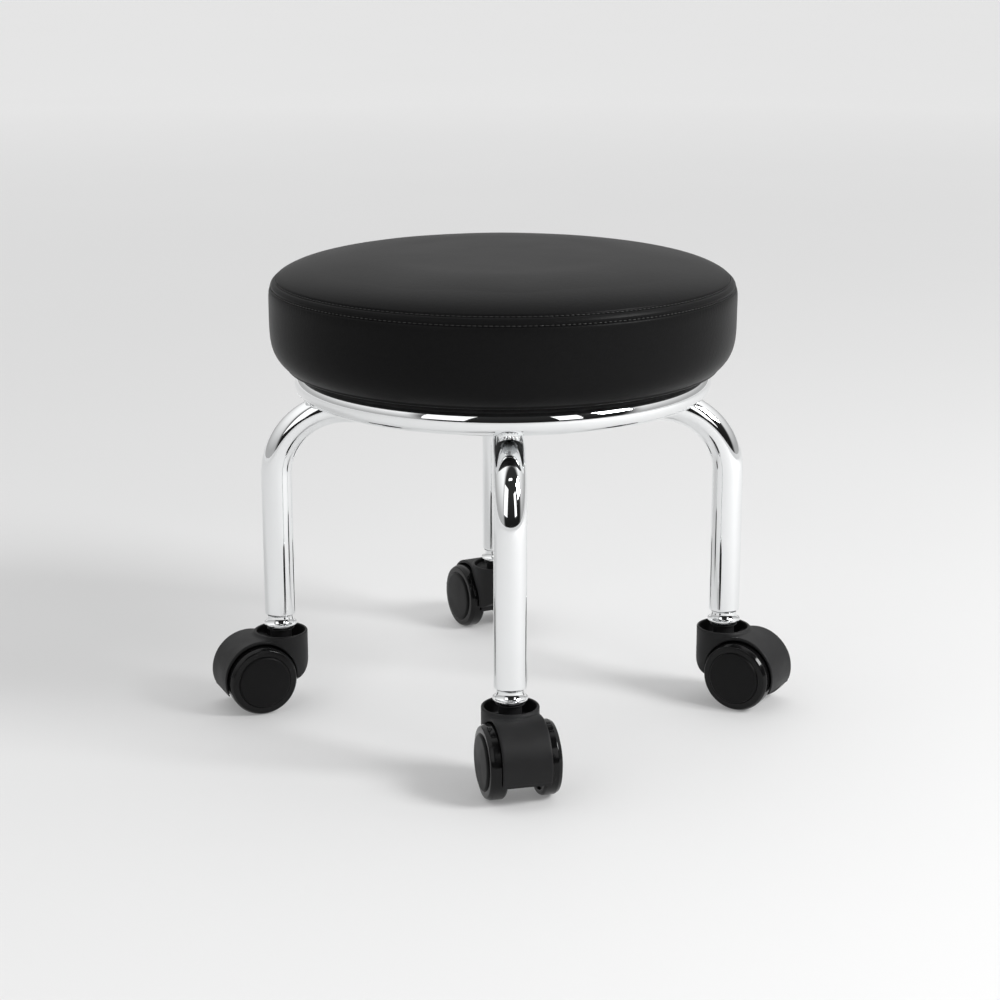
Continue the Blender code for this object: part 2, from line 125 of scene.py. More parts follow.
class StoolFrameSizes(bpy.types.PropertyGroup):
    leg_circle: length("Leg circle", "Distance of each leg from the middle", 0.1625)
    tube: length("Tube radius", "Outer radius of the leg tube", TUBE)
    wall: length("Tube wall", "Wall of the leg tube", 0.0015)
    bend: length("Bend radius", "Radius of the bend on the tube's centre line", 0.0495)
    arm: length("Arm height", "Height of the arms' centre line", LEG_HIGH.z - TUBE)
    foot: length("Foot", "Height of the tube's lower end", LEG_LOW.z)
    ring: length("Ring radius", "Radius of the ring's centre line", RING_HIGH.x - RING_TUBE)
    ring_tube: length("Ring tube", "Radius of the ring's round bar", RING_TUBE)
    hub: length("Hub half width", "Half the width of the square hub", HUB_HALF)
    bead: length("Weld bead", "Height of a weld bead", 0.0030)


class StoolCasterSizes(bpy.types.PropertyGroup):
    trail: length("Trail", "Distance from the swivel axis to the axle", 0.0206)
    wheel: length("Wheel radius", "Radius of a wheel", 0.025)
    inside: length("Wheel inside", "Distance of a wheel's inner face from the middle", 0.0123)
    width: length("Wheel width", "Width of a wheel's tread", 0.0125)
    cap: length("Cap radius", "Radius of the disc in a wheel's face", 0.0190)
    cap_recess: length("Cap recess", "Depth of the recess for the disc", 0.0025)
    cap_height: length("Cap height", "Height of the disc", 0.0034)
    cell: length("Body cell", "Spacing of the caster body's surface grid", 0.00058)


class StoolColours(bpy.types.PropertyGroup):
    leather: colour("Leather", "Colour of the seat", (0.008, 0.008, 0.0082))
    thread: colour("Thread", "Colour of the stitching", (0.014, 0.014, 0.014))
    chrome: colour("Chrome", "Tint of the plated tube", (0.89, 0.90, 0.905))
    steel: colour("Steel", "Tint of the stems and axles", (0.50, 0.51, 0.52))
    zinc: colour("Zinc", "Tint of the screws", (0.62, 0.63, 0.64))
    nylon: colour("Body nylon", "Colour of the caster bodies", (0.010, 0.010, 0.0105))
    wheel: colour("Wheel nylon", "Colour of the wheels", (0.005, 0.005, 0.0052))
    floor: colour("Floor", "Colour of the floor", (0.60, 0.60, 0.60))


# Surfaces --------------------------------------------------------------------------------------

def fillet(points, radii, steps=6):
    """A polyline with rounded corners: each inner point becomes an arc of its radius that touches both sides."""
    points = np.asarray(points, float)
    path = [points[:1]]
    for before, corner, after, radius in zip(points, points[1:], points[2:], radii):
        to_before, to_after = before - corner, after - corner
        to_before, to_after = to_before / np.linalg.norm(to_before), to_after / np.linalg.norm(to_after)
        half = math.acos(np.clip(to_before @ to_after, -1, 1)) / 2
        if radius == 0 or half > math.radians(89.5):
            path.append(corner[None])
            continue
        middle = (to_before + to_after) / np.linalg.norm(to_before + to_after)
        centre = corner + middle * radius / math.sin(half)
        start = corner + to_before * radius / math.tan(half) - centre
        end = corner + to_after * radius / math.tan(half) - centre
        share = np.linspace(0, 1, steps + 1)[:, None]
        angle = math.pi - 2 * half
        arc = (np.sin((1 - share) * angle) * start + np.sin(share * angle) * end) / math.sin(angle)
        path.append(centre + arc)
    path.append(points[-1:])
    return np.concatenate(path)


def resample(points, spacing):
    """The same polyline with points at least as close as the spacing; its own points stay."""
    out = [points[:1]]
    for start, end in zip(points, points[1:]):
        parts = max(1, int(math.ceil(np.linalg.norm(end - start) / spacing)))
        share = np.linspace(0, 1, parts + 1)[1:, None]
        out.append(start + (end - start) * share)
    return np.concatenate(out)


def revolve(profile, steps):
    """Rows of a solid of revolution: each (radius, height) point goes round the Z axis once."""
    angle = np.arange(steps) * TURN / steps
    radius, height = np.asarray(profile, float).T
    x = radius[:, None] * np.cos(angle)
    y = radius[:, None] * np.sin(angle)
    return np.stack([x, y, np.broadcast_to(height[:, None], x.shape)], axis=-1)


def sweep(path, normals, radii, sides):
    """Rows of a tube in a plane: each path point carries a circle across the path.
    A circle's point is the path point + radius x (cosine x across + sine x in-plane normal)."""
    angle = np.arange(sides) * TURN / sides
    across = np.array([0.0, 1.0, 0.0])
    ring = np.cos(angle)[None, :, None] * across + np.sin(angle)[None, :, None] * normals[:, None, :]
    return path[:, None, :] + np.asarray(radii)[:, None, None] * ring


def grid_faces(rows, columns, ring, loop):
    """Corner numbers of the quads between neighbouring points of a grid."""
    row = np.arange(rows if loop else rows - 1)[:, None]
    column = np.arange(columns if ring else columns - 1)[None, :]
    right, down = (column + 1) % columns, (row + 1) % rows
    corners = [row * columns + column, row * columns + right, down * columns + right, down * columns + column]
    return np.stack([np.broadcast_to(c, (row.size, column.size)) for c in corners], axis=-1).reshape(-1, 4)


def mesh_of(name, points, quads, material, sharp=40.0):
    """A mesh object from points and quads: doubles merged, normals outward, smooth up to the sharp angle."""
    mesh = bpy.data.meshes.new(name)
    mesh.vertices.add(len(points))
    mesh.vertices.foreach_set("co", np.asarray(points, np.float32).ravel())
    mesh.loops.add(quads.size)
    mesh.loops.foreach_set("vertex_index", quads.astype(np.int32).ravel())
    mesh.polygons.add(len(quads))
    mesh.polygons.foreach_set("loop_start", np.arange(0, quads.size, 4, dtype=np.int32))
    mesh.update(calc_edges=True)
    bm = bmesh.new()
    bm.from_mesh(mesh)
    bmesh.ops.remove_doubles(bm, verts=bm.verts, dist=MERGE)
    bmesh.ops.recalc_face_normals(bm, faces=bm.faces)
    bm.to_mesh(mesh)
    bm.free()
    mesh.shade_smooth()
    mesh.set_sharp_from_angle(angle=math.radians(sharp))
    mesh.materials.append(material)
    obj = bpy.data.objects.new(name, mesh)
    bpy.context.scene.collection.objects.link(obj)
    return obj


def surface(name, grid, material, matrix=None, ring=True, loop=False, sharp=40.0):
    """A piece from a grid of points, placed by a matrix."""
    rows, columns = grid.shape[:2]
    points = moved(grid.reshape(-1, 3), matrix)
    return mesh_of(name, points, grid_faces(rows, columns, ring, loop), material, sharp)


def moved(points, matrix):
    """Points carried by a matrix, or as they are where there is none."""
    if matrix is None:
        return points
    m = np.array(matrix)
    return points @ m[:3, :3].T + m[:3, 3]


def lathe(name, profile, steps, material, matrix=None, sharp=40.0):
    """A solid of revolution; a profile that stays off the axis is a closed loop."""
    profile = np.asarray(profile, float)
    loop = profile[:, 0].min() > MERGE
    if loop and np.allclose(profile[0], profile[-1]):
        profile = profile[:-1]
    return surface(name, revolve(profile, steps), material, matrix, loop=loop, sharp=sharp)


def leg_matrix(direction):
    """A turn about the stool's upright axis, in degrees."""
    return Matrix.Rotation(math.radians(direction), 4, "Z")


def foot_place(direction):
    """The foot of a leg, on the floor."""
    reach = bpy.context.scene.stool_frame.leg_circle
    return leg_matrix(direction) @ Vector((reach, 0, 0))


def caster_matrix(direction, trail):
    """The caster's own frame: swivel axis at the origin, trailing along +X."""
    return Matrix.Translation(foot_place(direction)) @ leg_matrix(trail)


def wheel_matrix(direction, trail, sign, out):
    """A wheel's frame: its axis along Z, outward, at a distance from the caster's middle."""
    sizes = bpy.context.scene.stool_caster
    place = Matrix.Translation((sizes.trail, sign * out, sizes.wheel))
    return caster_matrix(direction, trail) @ place @ Matrix.Rotation(math.radians(-90 * sign), 4, "X")


def mounted(piece, body, slot, *nodes):
    """Makes a finished piece ride on a body and stand for its CAD nodes, which it hides. The slot is not used."""
    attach(piece, body)
    if nodes:
        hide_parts(*nodes)


# Materials -------------------------------------------------------------------------------------

def new_material(name, base, roughness, metallic=0.0, gloss=0.5):
    """A Principled material; its plain numbers are set on the shader itself. Gloss is its specular level."""
    material = bpy.data.materials.new(name)
    material.use_nodes = True
    inputs = shader_of(material).inputs
    inputs["Base Color"].default_value = (*base, 1.0)
    inputs["Roughness"].default_value = roughness
    inputs["Metallic"].default_value = metallic
    inputs["Specular IOR Level"].default_value = gloss
    return material


def shader_of(material):
    """A material's Principled shader."""
    return material.node_tree.nodes["Principled BSDF"]


def node(owner, kind, **settings):
    """A new node of a material or of the world; each setting is a socket's value or else a property."""
    made = owner.node_tree.nodes.new(kind)
    for key, value in settings.items():
        if key in made.inputs:
            made.inputs[key].default_value = value
        else:
            setattr(made, key, value)
    return made


def link(owner, source, output, target, socket):
    """Joins one node's output to another's input."""
    owner.node_tree.links.new(source.outputs[output], target.inputs[socket])


def pattern(material, kind, **settings):
    """A node that reads object coordinates; a texture's scale is then in features a metre."""
    made = node(material, kind, **settings)
    link(material, node(material, "ShaderNodeTexCoord"), "Object", made, "Vector")
    return made


def noise(material, scale, detail=2.0, roughness=0.5):
    """Noise in features a metre."""
    return pattern(material, "ShaderNodeTexNoise", Scale=scale, Detail=detail, Roughness=roughness)


def spread(owner, source, output, low, high, to_low, to_high):
    """Maps a value from one range to another, held at the ends."""
    ranged = node(owner, "ShaderNodeMapRange")
    for key, value in zip(("From Min", "From Max", "To Min", "To Max"), (low, high, to_low, to_high)):
        ranged.inputs[key].default_value = value
    link(owner, source, output, ranged, "Value")
    return ranged


def vary_roughness(material, source, output, low, high, to_low, to_high):
    """Sets the roughness between two numbers by a value."""
    ranged = spread(material, source, output, low, high, to_low, to_high)
    link(material, ranged, "Result", shader_of(material), "Roughness")


def vary_colour(material, source, output, low, high, dark, light):
    """Mixes two tints of the base by a value."""
    ranged = spread(material, source, output, low, high, 0.0, 1.0)
    base_socket = shader_of(material).inputs["Base Color"]
    base = base_socket.default_value[:3]
    mix = node(material, "ShaderNodeMix", data_type="RGBA")
    sockets = [s for s in mix.inputs if s.type == "RGBA"]
    sockets[0].default_value = (*[c * dark for c in base], 1)
    sockets[1].default_value = (*[min(c * light, 1) for c in base], 1)
    link(material, ranged, "Result", mix, 0)
    result = next(s for s in mix.outputs if s.type == "RGBA")
    material.node_tree.links.new(result, base_socket)


def relief(material, source, output, strength, distance, under=None):
    """A bump from a value, laid over an earlier bump if one is given."""
    bump = node(material, "ShaderNodeBump", Strength=strength, Distance=distance)
    link(material, source, output, bump, "Height")
    if under is not None:
        link(material, under, "Normal", bump, "Normal")
    return bump


def use_relief(material, bump):
    """Gives a bump to the shader."""
    link(material, bump, "Normal", shader_of(material), "Normal")


def leather():
    """Soft black leather: a fine pebbled grain, faint creases, and a satin sheen that varies a little."""
    colours = bpy.context.scene.stool_colours
    material = new_material("black_leather_finish", colours.leather, 0.36, gloss=0.05)
    pebbles = pattern(material, "ShaderNodeTexVoronoi", feature="SMOOTH_F1", Scale=900.0, Smoothness=0.6)
    creases = noise(material, 260.0, 4.0, 0.6)
    sway = noise(material, 9.0, 3.0)
    bump = relief(material, pebbles, "Distance", 0.22, 0.00025)
    use_relief(material, relief(material, creases, "Fac", 0.16, 0.0004, bump))
    vary_roughness(material, sway, "Fac", 0.3, 0.7, 0.34, 0.38)
    vary_colour(material, creases, "Fac", 0.3, 0.7, 0.96, 1.04)
    return material


def chrome():
    """Bright plate: a mirror with a slight haze that varies along the tube."""
    colours = bpy.context.scene.stool_colours
    material = new_material("chrome_finish", colours.chrome, 0.04, 1.0)
    haze = noise(material, 30.0, 5.0, 0.6)
    vary_roughness(material, haze, "Fac", 0.35, 0.7, 0.025, 0.06)
    vary_colour(material, haze, "Fac", 0.3, 0.7, 0.97, 1.0)
    return material


def weld_metal():
    """Plated weld metal: the chrome over a rippled, slightly rough bead."""
    colours = bpy.context.scene.stool_colours
    material = new_material("chromed_weld_finish", colours.chrome, 0.12, 1.0)
    grain = noise(material, 900.0, 3.0)
    use_relief(material, relief(material, grain, "Fac", 0.35, 0.0004))
    vary_roughness(material, grain, "Fac", 0.3, 0.7, 0.08, 0.2)
    return material


def turned_steel(name, base, roughness):
    """Turned or rolled steel with fine marks and a slight tarnish."""
    material = new_material(name, base, roughness, 1.0)
    marks = noise(material, 1400.0, 2.0)
    tarnish = noise(material, 60.0, 4.0)
    use_relief(material, relief(material, marks, "Fac", 0.2, 0.0001))
    vary_roughness(material, tarnish, "Fac", 0.3, 0.7, roughness - 0.08, roughness + 0.1)
    vary_colour(material, tarnish, "Fac", 0.3, 0.7, 0.85, 1.05)
    return material


def moulded(name, base, roughness, grain, strength, gloss):
    """Moulded nylon: a fine spark texture from the mould and a sheen that varies a little."""
    material = new_material(name, base, roughness, gloss=gloss)
    spark = noise(material, grain, 3.0, 0.6)
    sway = noise(material, 70.0, 3.0)
    use_relief(material, relief(material, spark, "Fac", strength, 0.0002))
    vary_roughness(material, sway, "Fac", 0.3, 0.7, roughness - 0.05, roughness + 0.06)
    vary_colour(material, sway, "Fac", 0.3, 0.7, 0.88, 1.12)
    return material


def thread_finish():
    """Bonded thread: twisted, satin, a shade glossier than the leather."""
    colours = bpy.context.scene.stool_colours
    material = new_material("thread_finish", colours.thread, 0.4)
    fibres = noise(material, 5000.0, 2.0)
    use_relief(material, relief(material, fibres, "Fac", 0.5, 0.0001))
    vary_roughness(material, fibres, "Fac", 0.3, 0.7, 0.3, 0.5)
    return material


def lining():
    """Spunbonded lining: a matt black fleece with small pressed dots."""
    material = new_material("black_lining_finish", (0.014, 0.014, 0.014), 0.9)
    dots = pattern(material, "ShaderNodeTexVoronoi", Scale=700.0, Randomness=0.15)
    fibres = noise(material, 1600.0, 4.0)
    bump = relief(material, dots, "Distance", 0.4, 0.0002)
    use_relief(material, relief(material, fibres, "Fac", 0.4, 0.0002, bump))
    vary_colour(material, fibres, "Fac", 0.3, 0.7, 0.7, 1.4)
    return material


def plywood():
    """Plywood: thin plies seen on the edge as bands, with a streaky grain."""
    material = new_material("plywood_finish", (0.50, 0.34, 0.19), 0.7)
    stretch = pattern(material, "ShaderNodeMapping", Scale=(1.0, 14.0, 90.0))
    grain = node(material, "ShaderNodeTexNoise", Scale=18.0, Detail=5.0)
    link(material, stretch, "Vector", grain, "Vector")
    vary_colour(material, grain, "Fac", 0.3, 0.7, 0.6, 1.2)
    use_relief(material, relief(material, grain, "Fac", 0.3, 0.0003))
    return material


FINISHES = {}


def finish(name):
    """A finish by its short name, made the first time it is asked for."""
    if name not in FINISHES:
        colours = bpy.context.scene.stool_colours
        makers = {
            "leather": leather,
            "thread": thread_finish,
            "chrome": chrome,
            "weld": weld_metal,
            "lining": lining,
            "plywood": plywood,
            "steel": lambda: turned_steel("turned_steel_finish", colours.steel, 0.28),
            "zinc": lambda: turned_steel("zinc_finish", colours.zinc, 0.34),
            "nylon": lambda: moulded("body_nylon_finish", colours.nylon, 0.5, 1500.0, 0.22, 0.25),
            "wheel": lambda: moulded("wheel_nylon_finish", colours.wheel, 0.14, 500.0, 0.04, 0.22),
            "disc": lambda: moulded("disc_nylon_finish", colours.wheel, 0.42, 1500.0, 0.12, 0.15),
        }
        FINISHES[name] = makers[name]()
    return FINISHES[name]


# Seat ------------------------------------------------------------------------------------------

CROWN_OUT, CROWN_UP = 2 / 3.81, 2 / 3.58        # the powers of the crown's superellipse, outward and upward
SIDE_POWER = 4.75                               # how late the side draws in towards its lower edge
SEAM_RADIUS = 0.1622                            # where the top panel is sewn to the side panel
SWELL_ROWS, SWELL_COLUMNS = 40, 72              # places along the outside and directions in its table
SWELL_CAP = 0.006                               # the most that a point of the simulated pad may move
SWELL_SHARE, SWELL_LIMIT = 0.35, 0.0012         # how much of the swelling the leather shows, and its limit
GROOVE_DEPTH, GROOVE_WIDTH = 0.0012, 0.0007     # the groove that each row of stitches pulls in
STITCH_DEPTH = 0.0007                           # how far the stitches lie under the leather's plain outside


def crown_curve(sizes, number):
    """The crown's section, top to side: a superellipse, radius = R sin^(2/3.81), rise = H cos^(2/3.58)."""
    angle = np.linspace(0, math.pi / 2, number)
    radius = sizes.radius * np.sin(angle) ** CROWN_OUT
    rise = (sizes.top - sizes.widest) * np.clip(np.cos(angle), 0, 1) ** CROWN_UP
    return np.stack([radius, sizes.widest + rise], axis=1)


def side_curve(sizes, number):
    """The side's section, downward: it keeps its radius and then draws in with the power 4.75 of the drop."""
    share = np.linspace(0, 1, number)
    radius = sizes.radius - (sizes.radius - sizes.edge_radius) * share ** SIDE_POWER
    height = sizes.widest - (sizes.widest - sizes.edge_height) * share
    return np.stack([radius, height], axis=1)


def distances(curve):
    """How far along a curve each of its points is: the running sum of its steps."""
    return np.concatenate([[0], np.cumsum(np.linalg.norm(np.diff(curve, axis=0), axis=1))])


def spaced(profile, spacing):
    """A curve with evenly spaced points."""
    along = distances(profile)
    places = np.linspace(0, along[-1], int(round(along[-1] / spacing)) + 1)
    return np.stack([np.interp(places, along, profile[:, i]) for i in (0, 1)], axis=1)


def outward_of(curve):
    """Unit normals that point out of the seat: the curve's unit tangent turned by a quarter."""
    tangent = np.gradient(curve, axis=0)
    tangent /= np.linalg.norm(tangent, axis=1)[:, None]
    return np.stack([-tangent[:, 1], tangent[:, 0]], axis=1)


def outer_curve(sizes):
    """The leather's outside, from the middle of the top to the seat's lower edge."""
    return np.concatenate([crown_curve(sizes, 900), side_curve(sizes, 300)[1:]])


def seat_outline(sizes):
    """The leather's outside in even steps, and how far along it each point and the seam are."""
    curve = spaced(outer_curve(sizes), 0.0009)
    along = distances(curve)
    crown = curve[:, 1] >= sizes.widest
    seam = along[crown][np.argmin(np.abs(curve[crown, 0] - SEAM_RADIUS))]
    return curve, along, seam


def padding_grid(sizes, draw_in):
    """The pad before it swells: the outside moved in along its normals, closed flat at the board's top."""
    curve = spaced(outer_curve(sizes), 0.004)
    curve = curve - outward_of(curve) * draw_in
    curve[0, 0] = 0.0
    return np.concatenate([curve, [[0.0, curve[-1, 1]]]])


def swell(obj, seam, edge_height):
    """Blows up a remeshed copy with cloth pressure, its lower edge held and its seam half held.
    Gives its points' places before the pressure."""
    remesh = obj.modifiers.new("Even", "REMESH")
    remesh.mode, remesh.voxel_size = "VOXEL", 0.005
    apply_modifiers(obj)
    rest = points_of(obj.data)
    held = obj.vertex_groups.new(name="held")
    radius, height = np.hypot(rest[:, 0], rest[:, 1]), rest[:, 2]
    near_seam = np.exp(-((radius - seam[0]) ** 2 + (height - seam[1]) ** 2) / 0.006 ** 2)
    low = np.clip((edge_height + 0.012 - height) / 0.008, 0, 1)
    for weight, chosen in ((1.0, low > 0.5), (0.5, (near_seam > 0.5) & (low <= 0.5))):
        held.add(np.flatnonzero(chosen).tolist(), weight, "REPLACE")
    settings = obj.modifiers.new("Swell", "CLOTH").settings
    settings.quality = 6
    settings.mass = 0.3
    settings.tension_stiffness = settings.compression_stiffness = 40
    settings.shear_stiffness = 20
    settings.bending_stiffness = 6
    settings.use_pressure = True
    settings.uniform_pressure_force = 4.0
    settings.vertex_group_mass = "held"
    settings.effector_weights.gravity = 0
    for number in range(1, 21):
        bpy.context.scene.frame_set(number)
    apply_modifiers(obj)
    bpy.context.scene.frame_set(1)
    return rest


def apply_modifiers(obj):
    """Replaces an object's mesh by what its modifiers make of it."""
    bpy.context.view_layer.update()
    mesh = bpy.data.meshes.new_from_object(obj.evaluated_get(bpy.context.evaluated_depsgraph_get()))
    old = obj.data
    obj.modifiers.clear()
    obj.data = mesh
    bpy.data.meshes.remove(old)


def points_of(mesh):
    """A mesh's points as an array."""
    co = np.empty(len(mesh.vertices) * 3, np.float32)
    mesh.vertices.foreach_get("co", co)
    return co.reshape(-1, 3).astype(float)


def swelling_map(sizes, seam):
    """How far the simulated pad stands out from its start, by place along the outside and by direction.
    The moves of the cloth's points, each held to a cap, are averaged on a coarse polar table: rows are places
    along the outside, columns are directions, and the table is smoothed and centred."""
    rows, columns = SWELL_ROWS, SWELL_COLUMNS
    obj = surface("pad_blank", revolve(padding_grid(sizes, 0.003), 96), None)
    rest = swell(obj, seam, sizes.edge_height)
    move = points_of(obj.data) - rest
    size = np.linalg.norm(move, axis=1)
    move *= np.minimum(1, SWELL_CAP / np.maximum(size, 1e-9))[:, None]
    curve = spaced(outer_curve(sizes), 0.0015)
    around = np.hypot(rest[:, 0], rest[:, 1])
    apart = (around[:, None] - curve[None, :, 0]) ** 2 + (rest[:, 2, None] - curve[None, :, 1]) ** 2
    nearest = np.argmin(apart, axis=1)
    away = (move[:, 0] * rest[:, 0] + move[:, 1] * rest[:, 1]) / np.maximum(around, 1e-6)
    out = (np.stack([away, move[:, 2]], axis=1) * outward_of(curve)[nearest]).sum(axis=1)
    row = np.minimum((nearest / len(curve) * rows).astype(int), rows - 1)
    column = ((np.arctan2(rest[:, 1], rest[:, 0]) / TURN % 1) * columns).astype(int) % columns
    total, number = np.zeros((rows, columns)), np.zeros((rows, columns))
    np.add.at(total, (row, column), out)
    np.add.at(number, (row, column), 1)
    ringwise = total.sum(axis=1) / np.maximum(number.sum(axis=1), 1)
    table = np.where(number > 0, total / np.maximum(number, 1), ringwise[:, None])
    for _ in range(3):
        table = (np.roll(table, 1, 1) + 2 * table + np.roll(table, -1, 1)) / 4
        table[1:-1] = (table[:-2] + 2 * table[1:-1] + table[2:]) / 4
    table[:3] = table[:3].mean()
    bpy.data.objects.remove(obj, do_unlink=True)
    return table - np.median(table)


def sample_table(table, along, around):
    """The table's value at shares along and around, blended between its cells."""
    rows, columns = table.shape
    r = np.clip(along * rows - 0.5, 0, rows - 1)
    c = around * columns - 0.5
    r0, c0 = np.floor(r).astype(int), np.floor(c).astype(int)
    fr, fc = r - r0, c - c0
    r1, left, right = np.minimum(r0 + 1, rows - 1), c0 % columns, (c0 + 1) % columns
    top = table[r0, left] * (1 - fc) + table[r0, right] * fc
    low = table[r1, left] * (1 - fc) + table[r1, right] * fc
    return top * (1 - fr) + low * fr


def seam_relief(sizes, off):
    """The leather's height near the seam, by the distance past it along the outside: a bell-shaped groove under
    each row of stitches, and a low flat-topped band between them."""
    half = sizes.seam_spread / 2
    grooves = -GROOVE_DEPTH * sum(np.exp(-((off - line) / GROOVE_WIDTH) ** 2) for line in (-half, half))
    return grooves + 0.00035 * np.exp(-(off / (half * 0.75)) ** 4)


def seam_puckers(sizes, off, angle):
    """Puffs beside each row that rise and fall with the stitches, and a slow ripple of three waves round the
    side, whose heights are cosines of the direction."""
    half = sizes.seam_spread / 2
    puffs = 0.00022 * sum(np.exp(-((off + side * (half + 0.003)) / 0.0025) ** 2) for side in (1, -1))
    stitches = round(TURN * sizes.radius / sizes.stitch)
    pucker = np.cos(angle * stitches)[None] * puffs[:, None] * 0.5
    wander = np.cos(angle * 3 + 0.7) * 0.5 + np.cos(angle * 7 + 2.1) * 0.3 + np.cos(angle * 16 + 0.3) * 0.2
    return pucker + 0.00028 * np.exp(-((off - half - 0.006) / 0.008) ** 2)[:, None] * wander[None]


def seat_grid(sizes, table):
    """The leather's outside, raised along its normals by its swelling and the seam's relief and puckers, and
    closed by the turned-under hem, the board's edge and the foam's flat underside."""
    curve, along, seam = seat_outline(sizes)
    outward = outward_of(curve)
    columns = 720
    angle = np.arange(columns) * TURN / columns
    share = along / along[-1]
    shares = np.repeat(share[:, None], columns, 1), np.repeat(angle[None] / TURN, len(curve), 0)
    swelling = sample_table(table, *shares)
    fade = np.clip((1 - share) / 0.12, 0, 1)[:, None]
    height = SWELL_SHARE * np.clip(swelling, -SWELL_LIMIT, SWELL_LIMIT) * fade
    height = height + seam_relief(sizes, along - seam)[:, None] + seam_puckers(sizes, along - seam, angle)
    radius = curve[:, 0:1] + outward[:, 0:1] * height
    radius[0] = 0.0
    level = curve[:, 1:2] + outward[:, 1:2] * height
    level[:2] = level[:2].mean()
    outside = np.stack([radius * np.cos(angle), radius * np.sin(angle), level], axis=-1)
    board_edge, foam_floor = BOARD_HIGH.x + GAP, BOARD_HIGH.z + GAP + 0.0013
    under = fillet(
        [
            (sizes.edge_radius, sizes.edge_height),
            (sizes.edge_radius - 0.0004, sizes.bottom),
            (sizes.hem_radius, sizes.bottom),
            (sizes.hem_radius, sizes.bottom + sizes.skin),
            (board_edge, BOARD_LOW.z - GAP),
            (board_edge, foam_floor),
            (0.0, foam_floor),
        ],
        [0.0016, 0.0004, 0.0004, 0, 0],
    )
    return np.concatenate([outside, revolve(resample(under, 0.006)[1:], columns)])


def stitch_shape(span, radius):
    """One stitch along X: a capsule that dips at both ends.
    Its half width is the radius x the square root of 1 - (2x/span)^4, and its middle line follows a cosine."""
    rows, sides = 9, 6
    t = np.linspace(-1, 1, rows)
    angle = np.arange(sides) * TURN / sides
    width = radius * np.sqrt(np.clip(1 - t ** 4, 0, 1))
    rise = radius * (0.75 * np.cos(t * math.pi / 2) - 0.35)
    y = width[:, None] * np.cos(angle)
    z = rise[:, None] + width[:, None] * np.sin(angle)
    x = np.repeat((t * span / 2)[:, None], sides, 1)
    return np.stack([x, y, z], axis=-1)


def stitch_row(sizes, curve, along, place):
    """A row of stitches round the seat at one place along its outside, each turned to the leather's slope."""
    spots = (place, place + 0.0005)
    at, ahead = (np.array([np.interp(spot, along, curve[:, i]) for i in (0, 1)]) for spot in spots)
    tangent = (ahead - at) / np.linalg.norm(ahead - at)
    outward = np.array([-tangent[1], tangent[0]])
    number = round(TURN * sizes.radius / sizes.stitch)
    angle = (np.arange(number) + 0.5) * TURN / number
    base = stitch_shape(sizes.stitch * 0.78, sizes.thread)
    x_axis = np.stack([-np.sin(angle), np.cos(angle), 0 * angle], axis=1)
    radial = np.stack([np.cos(angle), np.sin(angle), 0 * angle], axis=1)
    up = np.array([0, 0, 1.0])
    z_axis = radial * outward[0] + up * outward[1]
    y_axis = radial * tangent[0] + up * tangent[1]
    middle = at - outward * STITCH_DEPTH
    centre = radial * middle[0] + up * middle[1]
    shape = base.reshape(-1, 3)
    turned = sum(shape[None, :, i:i + 1] * axis[:, None] for i, axis in enumerate((x_axis, y_axis, z_axis)))
    points = centre[:, None] + turned
    faces = grid_faces(*base.shape[:2], True, False)
    offsets = np.arange(number)[:, None, None] * len(shape)
    return points.reshape(-1, 3), (faces[None] + offsets).reshape(-1, 4)


class STOOL_OT_seat(bpy.types.Operator):
    """Makes the padded leather seat"""

    bl_idname = "stool.seat"
    bl_label = "Seat"

    def execute(self, context):
        sizes = context.scene.stool_seat
        curve, along, seam = seat_outline(sizes)
        spot = [np.interp(seam, along, curve[:, i]) for i in (0, 1)]
        table = swelling_map(sizes, spot)
        seat = surface("seat_cushion", seat_grid(sizes, table), finish("leather"), sharp=50)
        mounted(seat, FRAME_BODY, "black_leather", "seat_top_panel", "seat_side_panel", "seat_foam")
        return {"FINISHED"}


class STOOL_OT_stitching(bpy.types.Operator):
    """Makes the two rows of stitches along the seam"""

    bl_idname = "stool.stitching"
    bl_label = "Stitching"

    def execute(self, context):
        sizes = context.scene.stool_seat
        curve, along, seam = seat_outline(sizes)
        for name, side in (("upper", -0.5), ("lower", 0.5)):
            points, faces = stitch_row(sizes, curve, along, seam + side * sizes.seam_spread)
            thread = mesh_of(f"stitches_{name}", points, faces, finish("thread"), 60)
            mounted(thread, FRAME_BODY, "black_leather")
        return {"FINISHED"}


# Frame -----------------------------------------------------------------------------------------

FOOT_LIP, FOOT_DRAW = 0.0022, 0.0017    # height of the tube's rounded lower lip, and how far it draws in


